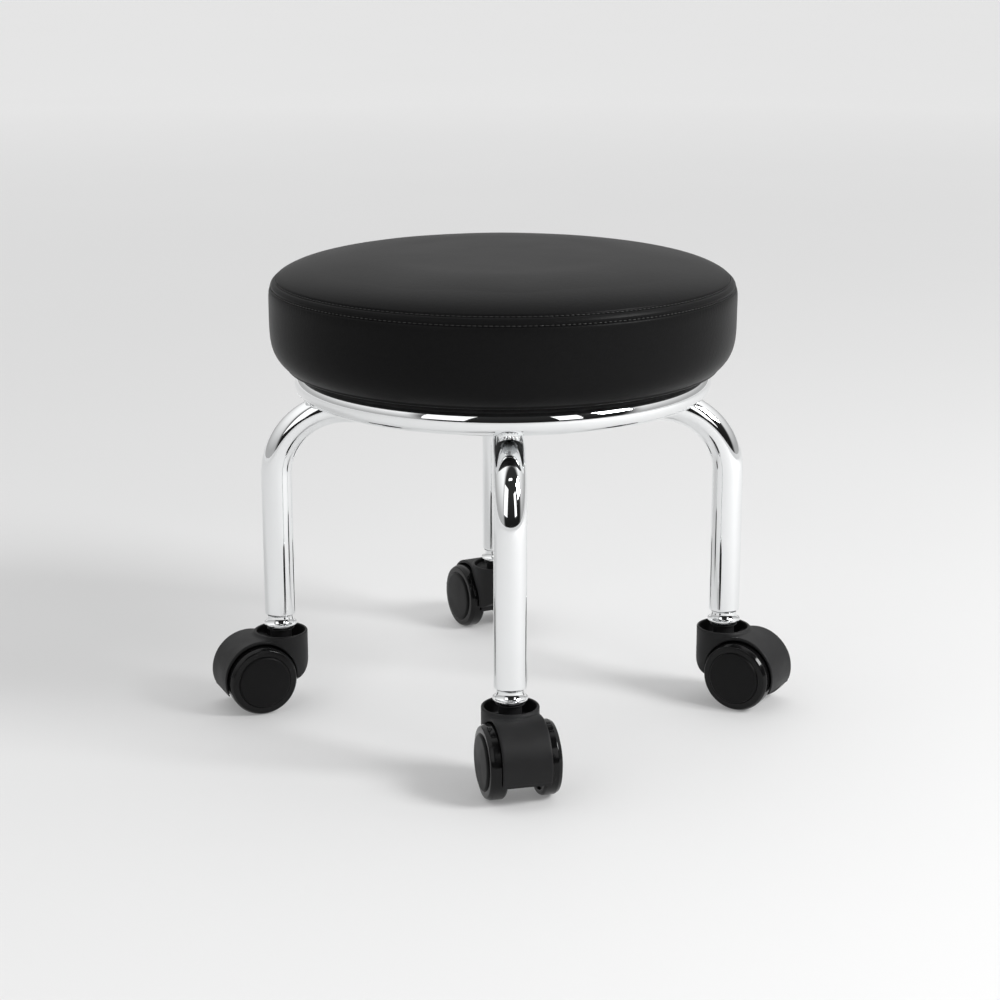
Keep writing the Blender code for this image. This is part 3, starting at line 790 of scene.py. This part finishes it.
def leg_path(sizes):
    """The tube's centre line in its own plane, up from the foot, round the bend and in to the hub, with its
    normals in that plane and its radii: a straight line, a quarter circle and a straight line. The radii draw in
    over the lip as a quarter of an oval."""
    reach, arm, bend = sizes.leg_circle, sizes.arm, sizes.bend
    turn = np.linspace(0, math.pi / 2, 33)
    bent = np.stack([reach - bend + bend * np.cos(turn), arm - bend + bend * np.sin(turn)], axis=1)
    lip = sizes.foot + FOOT_LIP * (1 - np.cos(np.linspace(0, math.pi / 2, 9)))
    straight = np.concatenate([lip, np.linspace(sizes.foot + 0.003, bent[0, 1], 9)[:-1]])
    upright_part = np.stack([np.full(17, reach), straight], axis=1)
    run = np.stack([np.linspace(bent[-1, 0], sizes.hub + GAP, 9)[1:], np.full(8, arm)], axis=1)
    path = np.concatenate([upright_part, bent, run])
    angle = np.concatenate([np.zeros(17), turn, np.full(8, math.pi / 2)])
    normals = np.stack([np.cos(angle), 0 * angle, np.sin(angle)], axis=1)
    above_lip = path[:, 1] - sizes.foot - FOOT_LIP
    drop = 1 - np.sqrt(np.clip(1 - (above_lip / FOOT_LIP) ** 2, 0, 1))
    radii = sizes.tube - np.where(above_lip < 0, FOOT_DRAW * drop, 0)
    return np.stack([path[:, 0], 0 * path[:, 0], path[:, 1]], axis=1), normals, radii


def leg_grid(sizes):
    """The tube's outside and, back again, its inside."""
    path, normals, radii = leg_path(sizes)
    outside = sweep(path, normals, radii, 48)
    inside = sweep(path, normals, np.full(len(path), sizes.tube - sizes.wall - 0.0004), 48)
    return np.concatenate([outside, inside[::-1]])


def ring_grid(sizes):
    """The ring: a small circle carried round a large one."""
    small = np.arange(56) * TURN / 56
    height = (RING_LOW.z + RING_HIGH.z) / 2
    radius = sizes.ring + sizes.ring_tube * np.cos(small)
    return revolve(np.stack([radius, height + sizes.ring_tube * np.sin(small)], axis=1), 288)


def cross_weld_grid(sizes):
    """Weld metal where the ring crosses an arm: an oval pad that fills the narrowing gap between the two tubes.
    Its edge is an oval round the touching point; its foot lies on the arm and its head on the ring,
    and its side draws in between them and ripples along its length."""
    angle = np.arange(72) * TURN / 72
    ripple = 1 + 0.045 * np.cos(angle * 22 + 0.4 * np.sin(angle * 3))
    long, wide, sunk = 0.0078, 0.0086, 0.0004

    def on_arm(x, y):
        return sizes.arm + np.sqrt(sizes.tube ** 2 - np.minimum(y ** 2, 0.00011)) - sunk

    def on_ring(x, y):
        return RING_LOW.z + sizes.ring_tube - np.sqrt(sizes.ring_tube ** 2 - np.minimum(x ** 2, 0.00008)) + sunk

    t = np.linspace(0, 1, 11)[:, None]
    inset = 1 - 0.20 * np.sin(t * math.pi)
    x = long * np.cos(angle) * ripple * inset
    y = wide * np.sin(angle) * ripple * inset
    low, high = on_arm(x, y), on_ring(x, y)
    side = np.stack([x, y, low + (high - low) * t], axis=-1)
    caps = []
    for row, level in ((0, on_arm), (-1, on_ring)):
        p, q = (side[row, :, i] * np.linspace(0, 1, 6)[:-1, None] for i in (0, 1))
        caps.append(np.stack([p, q, level(p, q)], axis=-1))
    grid = np.concatenate([caps[0], side, caps[1][::-1]])
    return grid + np.array([sizes.ring, 0, 0])


def fillet_bead(radius, size, ripples, columns=96):
    """A ring-shaped weld bead on its own axis: a bulged triangle of weld metal between a tube and a flat face,
    its height swelling with each ripple."""
    angle = np.arange(columns) * TURN / columns
    ripple = 1 + 0.09 * np.cos(angle * ripples)
    bulge = np.linspace(0, math.pi / 2, 7)
    out = np.concatenate([[-0.0008], size * np.cos(bulge), [-0.0008]])
    up = np.concatenate([[-0.0003], size * np.sin(bulge), [size * 0.9]])
    r = radius + out[:, None] * ripple
    z = np.repeat(up[:, None], columns, 1) * np.where(up[:, None] > 0, ripple, 1)
    return np.stack([r * np.cos(angle), r * np.sin(angle), z], axis=-1)


class STOOL_OT_ring(bpy.types.Operator):
    """Makes the chromed ring under the seat"""

    bl_idname = "stool.ring"
    bl_label = "Ring"

    def execute(self, context):
        ring = surface("seat_ring_chromed", ring_grid(context.scene.stool_frame), finish("chrome"), loop=True)
        mounted(ring, FRAME_BODY, "chrome", "seat_ring")
        return {"FINISHED"}


class STOOL_OT_legs(bpy.types.Operator):
    """Makes the four bent tube legs"""

    bl_idname = "stool.legs"
    bl_label = "Legs"

    def execute(self, context):
        grid = leg_grid(context.scene.stool_frame)
        for name, direction, _ in CORNERS:
            leg = surface(f"leg_{name}_tube", grid, finish("chrome"), leg_matrix(direction), loop=True)
            mounted(leg, FRAME_BODY, "chrome", f"leg_{name}")
        return {"FINISHED"}


class STOOL_OT_welds(bpy.types.Operator):
    """Makes the weld beads at the ring and at the hub"""

    bl_idname = "stool.welds"
    bl_label = "Welds"

    def execute(self, context):
        sizes = context.scene.stool_frame
        crossing = cross_weld_grid(sizes)
        bead = fillet_bead(sizes.tube, sizes.bead, 26)
        lying = Matrix.Rotation(math.radians(90), 4, "Y")
        for name, direction, _ in CORNERS:
            place = leg_matrix(direction)
            at_hub = place @ Matrix.Translation((sizes.hub, 0, sizes.arm)) @ lying
            mounted(surface(f"ring_weld_{name}", crossing, finish("weld"), place), FRAME_BODY, "chrome")
            mounted(surface(f"hub_weld_{name}", bead, finish("weld"), at_hub, loop=True), FRAME_BODY, "chrome")
        return {"FINISHED"}


# Casters ---------------------------------------------------------------------------------------

# Round parts of the caster body: radius, lower and upper end along the axis, and the radius of the rims
BOSS = (0.0195, 0.0212, 0.0552, 0.0009)
RECESS = (0.0176, 0.044, 0.075, 0.001)
POST = (0.0078, 0.0275, 0.0566, 0.0006)
PIVOT_BORE = (0.0044, 0.0304, 0.075, 0.0003)
AXLE_BOSS = (0.0068, -0.0118, 0.0118, 0.0005)
AXLE_BORE = (0.0034, -0.03, 0.03, 0.0)
WHEEL_SPACES = ((0.0260, 0.004, 0.03, 0.0008), (0.0260, -0.03, -0.004, 0.0008))
# The curve of the boss's front underside: the place of its middle, forward and up, and its radius
FRONT_X, FRONT_Z, FRONT_RADIUS = -0.0025, 0.039, 0.0175
# The hood: its arc's radius and middle over the axle, its half width, and the radius of its edges
HOOD_RADIUS, HOOD_RISE, HOOD_HALF, HOOD_EDGE = 0.0273, 0.0012, 0.0168, 0.0009
# The chamfer of its tip: the direction it faces, back and down, and its distance from the arc's middle
CHAMFER_BACK, CHAMFER_DOWN, CHAMFER_AT = 0.9520, 0.3062, 0.02715
# Its lower edge: its height, where it starts to drop behind the axle, how steeply, and the height of the tip
HOOD_FLOOR, DROP_FROM, DROP_SLOPE, TIP_FLOOR = 0.0185, 0.0215, 3.0, 0.0150
# The arch that thickens it over the wheels: radius, lower edge, half width, and the radius of its edges
ARCH_RADIUS, ARCH_FLOOR, ARCH_HALF, ARCH_EDGE = 0.0268, 0.0175, 0.0164, 0.0005
AXLE_HALF, AXLE_RADIUS = 0.0212, 0.003


def ferrule_curve():
    """The ferrule's section: a plug in the tube, a narrow neck, and a bell that flares to a flat collar."""
    low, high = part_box("ferrule_front")
    foot = LEG_LOW.z
    turn = np.linspace(0, math.pi / 2, 13)
    bore, neck, flare = 0.0058, 0.0089, (high.x - low.x) / 2
    drop = (foot - GAP - low.z) * 0.80
    bell = np.stack([flare - (flare - neck) * np.cos(turn), foot - 0.0005 - drop * np.sin(turn)], axis=1)
    edge = fillet([bell[-1], (flare, low.z), (bore, low.z)], [0.0005], 5)
    bead = fillet([(neck, foot + 0.0006), (neck + 0.0007, foot - 0.0001), bell[0]], [0.0003], 4)
    plug = [(bore, high.z), (neck, high.z), (neck, foot + 0.0006)]
    return np.concatenate([plug, bead[1:], bell[1:], edge[1:]])


def stem_curve():
    """The stem's section: a chamfered shank, a flange over the washer, and the pivot below."""
    low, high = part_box("caster_stem_front")
    flange_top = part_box("ferrule_front")[0].z - GAP
    flange_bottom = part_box("swivel_washer_front")[1].z + GAP
    shank, flange, pivot = 0.0055, 0.0085, 0.004
    return fillet(
        [
            (0, high.z), (shank, high.z), (shank, flange_top), (flange, flange_top),
            (flange, flange_bottom), (pivot, flange_bottom), (pivot, low.z), (0, low.z),
        ],
        [0.001, 0, 0.0004, 0.0004, 0, 0.0006],
        5,
    )


def washer_curve():
    """The washer's section: a thin rectangle with rounded rims."""
    low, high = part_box("swivel_washer_front")
    bore, outer = 0.0044, (high.x - low.x) / 2
    middle = (low.z + high.z) / 2
    return fillet(
        [(bore, middle), (bore, high.z), (outer, high.z), (outer, low.z), (bore, low.z), (bore, middle)],
        [0.0001, 0.0003, 0.0003, 0.0001],
        4,
    )


def wheel_curve(sizes):
    """A wheel's section from its inner face: a crowned tread with round shoulders, a raised rim on the face,
    a stepped recess for the cap, and a rib and hub on the inner side."""
    radius, width, cap = sizes.wheel, sizes.width, sizes.cap
    floor, recess = width - sizes.cap_recess, cap + 0.00015
    points = [
        (0.0034, floor), (recess, floor), (recess, width - 0.0005), (radius - 0.0014, width - 0.0007),
        (radius, width - 0.0034), (radius, 0.0014), (radius - 0.0010, 0.0), (radius - 0.0036, 0.0),
        (radius - 0.0044, 0.0030), (0.0088, 0.0030), (0.0080, 0.0), (0.0034, 0.0), (0.0034, floor),
    ]
    radii = [0.0004, 0.0003, 0.0013, 0.0018, 0.0012, 0.0006, 0.0004, 0.0006, 0.0006, 0.0004, 0]
    return fillet(points, radii, 7)


def cap_curve(sizes):
    """The cap's section: a faintly domed middle that rolls over into a soft edge."""
    radius, top = sizes.cap, sizes.cap_height
    middle = [(radius * s, top - 0.0003 * s ** 2) for s in np.linspace(0, 0.85, 8)]
    edge = fillet([middle[-1], (radius, top - 0.0004), (radius, 0.0), (0, 0)], [0.0015, 0.0003], 7)
    return np.concatenate([middle, edge[1:]])


def smooth_union(a, b, blend):
    """The smaller of two distances, with a fillet of the blend's size where they meet."""
    share = np.maximum(blend - np.abs(a - b), 0) / blend
    return np.minimum(a, b) - share * share * blend / 4


def smooth_cut(a, b, blend):
    """Distance a with the inside of b taken away, its new edge rounded by the blend."""
    return -smooth_union(-a, b, blend)


def rounded_slab(distance, offset, edge):
    """A shape bounded by a side distance and an end distance, its rim rounded by the edge radius."""
    side, end = distance + edge, offset + edge
    return np.minimum(np.maximum(side, end), 0) + np.hypot(np.maximum(side, 0), np.maximum(end, 0)) - edge


def upright(x, y, z, radius, low, high, edge):
    """Distance to a standing cylinder with rounded rims."""
    middle, half = (low + high) / 2, (high - low) / 2
    return rounded_slab(np.hypot(x, y) - radius, np.abs(z - middle) - half, edge)


def crosswise(x, y, z, radius, low, high, edge):
    """Distance to a cylinder about the axle with rounded rims."""
    return upright(x, z, y, radius, low, high, edge)


def hood_profile(x, z, sizes):
    """The hood's side view as a distance: an arc, its chamfered tip and its lower edge, behind the swivel."""
    back, up = x - sizes.trail, z - sizes.wheel - HOOD_RISE
    arc = np.hypot(back, up) - HOOD_RADIUS
    chamfer = back * CHAMFER_BACK - up * CHAMFER_DOWN - CHAMFER_AT
    floor = np.clip(HOOD_FLOOR - DROP_SLOPE * (back - DROP_FROM), TIP_FLOOR, HOOD_FLOOR) - z
    return np.maximum(np.maximum(arc, chamfer), np.maximum(floor, -x))


def body_distance(x, y, z, sizes):
    """The caster body as a distance that is below 0 inside: a round boss with a soft front underside is joined
    to the hood, the stem's recess is cut out, the arch is joined under the hood, the wheels' spaces are cut out so
    that a web stays between them, and the post and the axle's boss are joined inside and bored."""
    axle_x, axle_z = x - sizes.trail, z - sizes.wheel
    front = np.hypot(np.minimum(x - FRONT_X, 0), np.minimum(z - FRONT_Z, 0)) - FRONT_RADIUS
    boss = smooth_cut(upright(x, y, z, *BOSS), -front, 0.001)
    hood = rounded_slab(hood_profile(x, z, sizes), np.abs(y) - HOOD_HALF, HOOD_EDGE)
    body = smooth_cut(smooth_union(boss, hood, 0.003), upright(x, y, z, *RECESS), 0.0009)
    under_arch = np.maximum(np.hypot(axle_x, axle_z) - ARCH_RADIUS, ARCH_FLOOR - z)
    body = smooth_union(body, rounded_slab(under_arch, np.abs(y) - ARCH_HALF, ARCH_EDGE), 0.0008)
    for space in WHEEL_SPACES:
        body = smooth_cut(body, crosswise(axle_x, y, axle_z, *space), 0.0007)
    body = smooth_union(body, upright(x, y, z, *POST), 0.0016)
    body = smooth_union(body, crosswise(axle_x, y, axle_z, *AXLE_BOSS), 0.0014)
    body = smooth_cut(body, upright(x, y, z, *PIVOT_BORE), 0.0004)
    return smooth_cut(body, crosswise(axle_x, y, axle_z, *AXLE_BORE), 0.0004)


def crossings(field, axis):
    """The grid's edges along an axis that go through 0: their first corners, which of them start inside, and
    the share of each edge before the crossing."""
    start, end = [slice(None)] * 3, [slice(None)] * 3
    start[axis], end[axis] = slice(0, -1), slice(1, None)
    a, b = field[tuple(start)], field[tuple(end)]
    crossed = (a < 0) != (b < 0)
    return np.argwhere(crossed), a[crossed] < 0, a[crossed] / (a[crossed] - b[crossed])


def cells_round(spot, axis):
    """The four cells round each edge along an axis, in order about it."""
    others = [i for i in range(3) if i != axis]
    for back in ((1, 1), (0, 1), (0, 0), (1, 0)):
        cells = spot.copy()
        cells[:, others] -= back
        yield cells


def level_surface(distance, low, high, cell):
    """Points and quads where a distance is 0. Each cell that the surface crosses gets one point, the mean of
    the crossings on its edges, and each crossed edge joins its four cells by a quad. Two Newton steps then move
    the points along the distance's slope onto the surface."""
    counts = np.ceil((high - low) / cell).astype(int) + 1
    axes = [low[i] + np.arange(counts[i]) * cell for i in range(3)]
    field = distance(*np.meshgrid(*axes, indexing="ij"))
    total, number = np.zeros((*(counts - 1), 3)), np.zeros(counts - 1)
    for axis in range(3):
        spot, _, share = crossings(field, axis)
        place = spot.astype(float)
        place[:, axis] += share
        for cells in cells_round(spot, axis):
            inside = ((cells >= 0) & (cells < counts - 1)).all(axis=1)
            index = tuple(cells[inside].T)
            np.add.at(total, index, place[inside])
            np.add.at(number, index, 1)
    used = number > 0
    ids = np.full(used.shape, -1)
    ids[used] = np.arange(used.sum())
    points = low + total[used] / number[used][:, None] * cell
    quads = []
    for axis in range(3):
        spot, leaving, _ = crossings(field, axis)
        quad = np.stack([ids[tuple(cells.T)] for cells in cells_round(spot, axis)], axis=1)
        flip = leaving if axis == 1 else ~leaving
        quad[flip] = quad[flip][:, ::-1]
        quads.append(quad)
    for _ in range(2):
        points = points - newton(distance, points, cell)
    return points, np.concatenate(quads)


def newton(distance, points, cell):
    """The step to the zero of a distance: its value times its slope over the slope's square, at most 0.4 cell.
    The slope is the difference over a twentieth of a cell to either side."""
    step = cell * 0.05
    value = distance(*points.T)
    ahead, behind = ([distance(*(points + way * axis).T) for axis in np.eye(3)] for way in (step, -step))
    slope = (np.stack(ahead, axis=1) - np.stack(behind, axis=1)) / (2 * step)
    move = value[:, None] * slope / np.maximum((slope ** 2).sum(axis=1), 0.25)[:, None]
    size = np.linalg.norm(move, axis=1)
    return move * np.minimum(1, 0.4 * cell / np.maximum(size, 1e-12))[:, None]


def body_surface(sizes):
    """The caster body's points and quads, in the caster's own frame."""
    low, high = np.array([-0.0206, -0.0206, 0.011]), np.array([0.0525, 0.0206, 0.0580])
    return level_surface(lambda x, y, z: body_distance(x, y, z, sizes), low, high, sizes.cell)


class STOOL_OT_ferrules(bpy.types.Operator):
    """Makes the chromed ferrules in the feet of the legs"""

    bl_idname = "stool.ferrules"
    bl_label = "Ferrules"

    def execute(self, context):
        for name, direction, _ in CORNERS:
            place = Matrix.Translation(foot_place(direction))
            ferrule = lathe(f"ferrule_{name}_chromed", ferrule_curve(), 64, finish("chrome"), place, 50)
            mounted(ferrule, FRAME_BODY, "chrome", f"ferrule_{name}")
        return {"FINISHED"}


class STOOL_OT_stems(bpy.types.Operator):
    """Makes the caster stems and their washers"""

    bl_idname = "stool.stems"
    bl_label = "Stems"

    def execute(self, context):
        for name, direction, _ in CORNERS:
            place = Matrix.Translation(foot_place(direction))
            stem = lathe(f"caster_stem_{name}_turned", stem_curve(), 40, finish("steel"), place)
            mounted(stem, FRAME_BODY, "steel", f"caster_stem_{name}")
            washer = lathe(f"swivel_washer_{name}_moulded", washer_curve(), 48, finish("nylon"), place)
            mounted(washer, f"caster_{name}", "black_acetal", f"swivel_washer_{name}")
        return {"FINISHED"}


class STOOL_OT_caster_bodies(bpy.types.Operator):
    """Makes the moulded caster bodies"""

    bl_idname = "stool.caster_bodies"
    bl_label = "Caster bodies"

    def execute(self, context):
        points, quads = body_surface(context.scene.stool_caster)
        for name, direction, trail in CORNERS:
            place = caster_matrix(direction, trail)
            hood = mesh_of(f"caster_body_{name}", moved(points, place), quads, finish("nylon"), 180)
            mounted(hood, f"caster_{name}", "black_nylon", f"caster_hood_{name}")
        return {"FINISHED"}


class STOOL_OT_axles(bpy.types.Operator):
    """Makes the wheels' axles"""

    bl_idname = "stool.axles"
    bl_label = "Axles"

    def execute(self, context):
        ends = [(0, AXLE_HALF), (AXLE_RADIUS, AXLE_HALF), (AXLE_RADIUS, -AXLE_HALF), (0, -AXLE_HALF)]
        profile = fillet(ends, [0.0005, 0.0005], 4)
        for name, direction, trail in CORNERS:
            place = wheel_matrix(direction, trail, 1.0, 0.0)
            axle = lathe(f"caster_axle_{name}_turned", profile, 32, finish("steel"), place)
            mounted(axle, f"caster_{name}", "steel", f"caster_axle_{name}")
        return {"FINISHED"}


class STOOL_OT_wheels(bpy.types.Operator):
    """Makes the eight wheels and the discs in their faces"""

    bl_idname = "stool.wheels"
    bl_label = "Wheels"

    def execute(self, context):
        sizes = context.scene.stool_caster
        tyre, disc = wheel_curve(sizes), cap_curve(sizes)
        seat = sizes.inside + sizes.width - sizes.cap_recess + GAP
        for name, direction, trail in CORNERS:
            for side, sign in SIDES:
                label = f"{name}_{side}"
                place = wheel_matrix(direction, trail, sign, sizes.inside)
                wheel = lathe(f"wheel_{label}_moulded", tyre, 128, finish("wheel"), place, 60)
                mounted(wheel, f"wheel_{label}", "wheel_nylon", f"wheel_{label}")
                place = wheel_matrix(direction, trail, sign, seat)
                cap = lathe(f"wheel_disc_{label}", disc, 96, finish("disc"), place, 60)
                mounted(cap, f"wheel_{label}", "wheel_nylon", f"hub_cap_{label}")
        return {"FINISHED"}


class STOOL_OT_inner_pieces(bpy.types.Operator):
    """Gives the plain inner pieces their finishes"""

    bl_idname = "stool.inner_pieces"
    bl_label = "Inner pieces"

    def execute(self, context):
        finishes = {"seat_board": "plywood", "dust_cover": "lining", "frame_hub": "chrome", "seat_plate": "chrome"}
        for number in range(1, 5):
            finishes[f"seat_screw_{number}"] = finishes[f"tee_nut_{number}"] = "zinc"
        for name, short in finishes.items():
            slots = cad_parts[name].data.materials
            slots.clear()
            slots.append(finish(short))
        return {"FINISHED"}


# Stage -----------------------------------------------------------------------------------------

def aim(obj, place, target):
    """Puts a light or camera at a place and turns it towards another."""
    obj.location = place
    obj.rotation_mode = "QUATERNION"
    obj.rotation_quaternion = (Vector(target) - Vector(place)).to_track_quat("-Z", "Y")


def toward(around, above):
    """A unit vector from degrees round from the camera's side towards +X and degrees up."""
    around, above = math.radians(around), math.radians(above)
    return Vector((math.sin(around) * math.cos(above), -math.cos(around) * math.cos(above), math.sin(above)))


# Name, degrees round from the camera's side towards +X, degrees up, distance, width, height, brightness
SOFTBOXES = (
    ("key_softbox", 64.0, 34.0, 2.4, 0.76, 0.76, 26.0),
    ("left_strip", -33.0, 28.0, 2.4, 1.0, 1.5, 1.3),
    ("right_strip", 34.0, 24.0, 2.6, 0.6, 1.3, 1.6),
    ("front_bar", 4.0, 58.0, 2.4, 0.8, 0.12, 3.0),
)
# The unlit room: its direction, and the cosines and brightnesses between which the studio fades to it
ROOM_AROUND, ROOM_ABOVE = 13.0, 25.0
ROOM_FADE = (0.42, 0.62, 0.74, 0.02)
# How the studio brightens overhead: the heights between which it does, and the factors there
OVERHEAD = (0.1, 0.7, 0.75, 1.9)
# The brightness of the wall behind the floor's far edge, where it is seen past the stool
BACKDROP = 0.78
# Half the floor's side, and how far it lies below the wheels
FLOOR_REACH, FLOOR_DROP = 30.0, 0.00005


def softbox(name, around, above, away, width, height, brightness):
    """A rectangular light aimed at the stool; its power is brightness x area x pi."""
    data = bpy.data.lights.new(name, "AREA")
    data.shape, data.size, data.size_y = "RECTANGLE", width, height
    data.energy = brightness * width * height * math.pi
    obj = bpy.data.objects.new(name, data)
    bpy.context.scene.collection.objects.link(obj)
    target = Vector((0, 0, 0.2))
    aim(obj, target + toward(around, above) * away, target)


def surroundings(scene):
    """A pale studio: bright walls behind the stool and overhead, and an unlit room behind the camera. Its
    strength is the room's fade x the overhead gain, and one fixed number where the camera sees it directly."""
    world = scene.world or bpy.data.worlds.new("studio")
    scene.world = world
    world.use_nodes = True
    world.node_tree.nodes.clear()
    place = node(world, "ShaderNodeTexCoord")
    facing = node(world, "ShaderNodeVectorMath", operation="DOT_PRODUCT")
    facing.inputs[1].default_value = toward(ROOM_AROUND, ROOM_ABOVE)
    link(world, place, "Generated", facing, 0)
    shade = spread(world, facing, "Value", *ROOM_FADE)
    shade.interpolation_type = "SMOOTHSTEP"
    height = node(world, "ShaderNodeSeparateXYZ")
    link(world, place, "Generated", height, "Vector")
    rise = spread(world, height, "Z", *OVERHEAD)
    both = node(world, "ShaderNodeMath", operation="MULTIPLY")
    link(world, shade, "Result", both, 0)
    link(world, rise, "Result", both, 1)
    backdrop = node(world, "ShaderNodeMix", B=BACKDROP)
    link(world, node(world, "ShaderNodeLightPath"), "Is Camera Ray", backdrop, "Factor")
    link(world, both, "Value", backdrop, "A")
    back = node(world, "ShaderNodeBackground")
    link(world, backdrop, "Result", back, "Strength")
    link(world, back, "Background", node(world, "ShaderNodeOutputWorld"), "Surface")


# The camera: focal length and film width in mm, the point it looks at, and degrees round, degrees up and distance
LENS, FILM = 78.96, 36.0
LOOK_AT = (-0.0020, 0.0001, 0.1519)
CAMERA_AROUND, CAMERA_ABOVE, CAMERA_AWAY = -1.69, 15.22, 1.5848


def camera(scene):
    """The camera looks at the stool's middle from the front, a little above it."""
    data = bpy.data.cameras.new("camera")
    data.lens, data.sensor_width = LENS, FILM
    obj = bpy.data.objects.new("camera", data)
    scene.collection.objects.link(obj)
    target = Vector(LOOK_AT)
    aim(obj, target + toward(CAMERA_AROUND, CAMERA_ABOVE) * CAMERA_AWAY, target)
    scene.camera = obj


def floor_material():
    """Matt pale floor with a faint unevenness, and painted light: it glows, weakly near the stool and more with
    the distance, which brightens the far floor and lifts the shadows in place of lamp light.
    """
    made = new_material("floor_finish", bpy.context.scene.stool_colours.floor, 0.6, gloss=0.1)
    # Painted light: the floor's white glow, from 0.18 near the stool to 0.37 far off, stands in for lamp light on
    # the floor
    shader_of(made).inputs["Emission Color"].default_value = (1, 1, 1, 1)
    away = pattern(made, "ShaderNodeVectorMath", operation="LENGTH")
    painted_floor_light = spread(made, away, "Value", 0.6, 5.0, 0.18, 0.37)
    link(made, painted_floor_light, "Result", shader_of(made), "Emission Strength")
    vary_colour(made, noise(made, 1.4, 2.0), "Fac", 0.3, 0.7, 0.985, 1.0)
    return made


class STOOL_OT_stage(bpy.types.Operator):
    """Makes the floor, the lights and the camera"""

    bl_idname = "stool.stage"
    bl_label = "Stage"

    def execute(self, context):
        scene = context.scene
        line = np.linspace(-FLOOR_REACH, FLOOR_REACH, 3)
        x, y = np.meshgrid(line, line, indexing="ij")
        grid = np.stack([x, y, 0 * x - FLOOR_DROP], axis=-1)
        floor = surface("studio_floor", grid, floor_material(), ring=False)
        floor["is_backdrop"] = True
        surroundings(scene)
        for light in SOFTBOXES:
            softbox(*light)
        scene.view_settings.view_transform = "Standard"
        camera(scene)
        return {"FINISHED"}


# Add-on ----------------------------------------------------------------------------------------

PIECES = (
    STOOL_OT_seat, STOOL_OT_stitching, STOOL_OT_ring, STOOL_OT_legs, STOOL_OT_welds, STOOL_OT_ferrules,
    STOOL_OT_stems, STOOL_OT_caster_bodies, STOOL_OT_axles, STOOL_OT_wheels, STOOL_OT_inner_pieces, STOOL_OT_stage,
)
GROUPS = (
    ("stool_seat", StoolSeatSizes),
    ("stool_frame", StoolFrameSizes),
    ("stool_caster", StoolCasterSizes),
    ("stool_colours", StoolColours),
)


class STOOL_PT_panel(bpy.types.Panel):
    """Lists the stool's pieces"""

    bl_idname = "STOOL_PT_panel"
    bl_label = "Rolling stylist stool"
    bl_space_type = "VIEW_3D"
    bl_region_type = "UI"
    bl_category = "Stool"

    def draw(self, context):
        for operator in PIECES:
            self.layout.operator(operator.bl_idname)
        for name, group in GROUPS:
            box = self.layout.box()
            for key in group.__annotations__:
                box.prop(getattr(context.scene, name), key)


CLASSES = (*(group for _, group in GROUPS), *PIECES, STOOL_PT_panel)


def register():
    for made in CLASSES:
        bpy.utils.register_class(made)
    for name, group in GROUPS:
        setattr(bpy.types.Scene, name, PointerProperty(type=group))


def unregister():
    for name, _ in GROUPS:
        delattr(bpy.types.Scene, name)
    for made in reversed(CLASSES):
        bpy.utils.unregister_class(made)


def corners(box):
    """A box as plain lists of numbers."""
    return [list(corner) for corner in box]


def main():
    cad = corners(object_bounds())
    register()
    for operator in PIECES:
        group, name = operator.bl_idname.split(".")
        getattr(getattr(bpy.ops, group), name)()
    visual = corners(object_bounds())


if __name__ == "__main__":
    main()
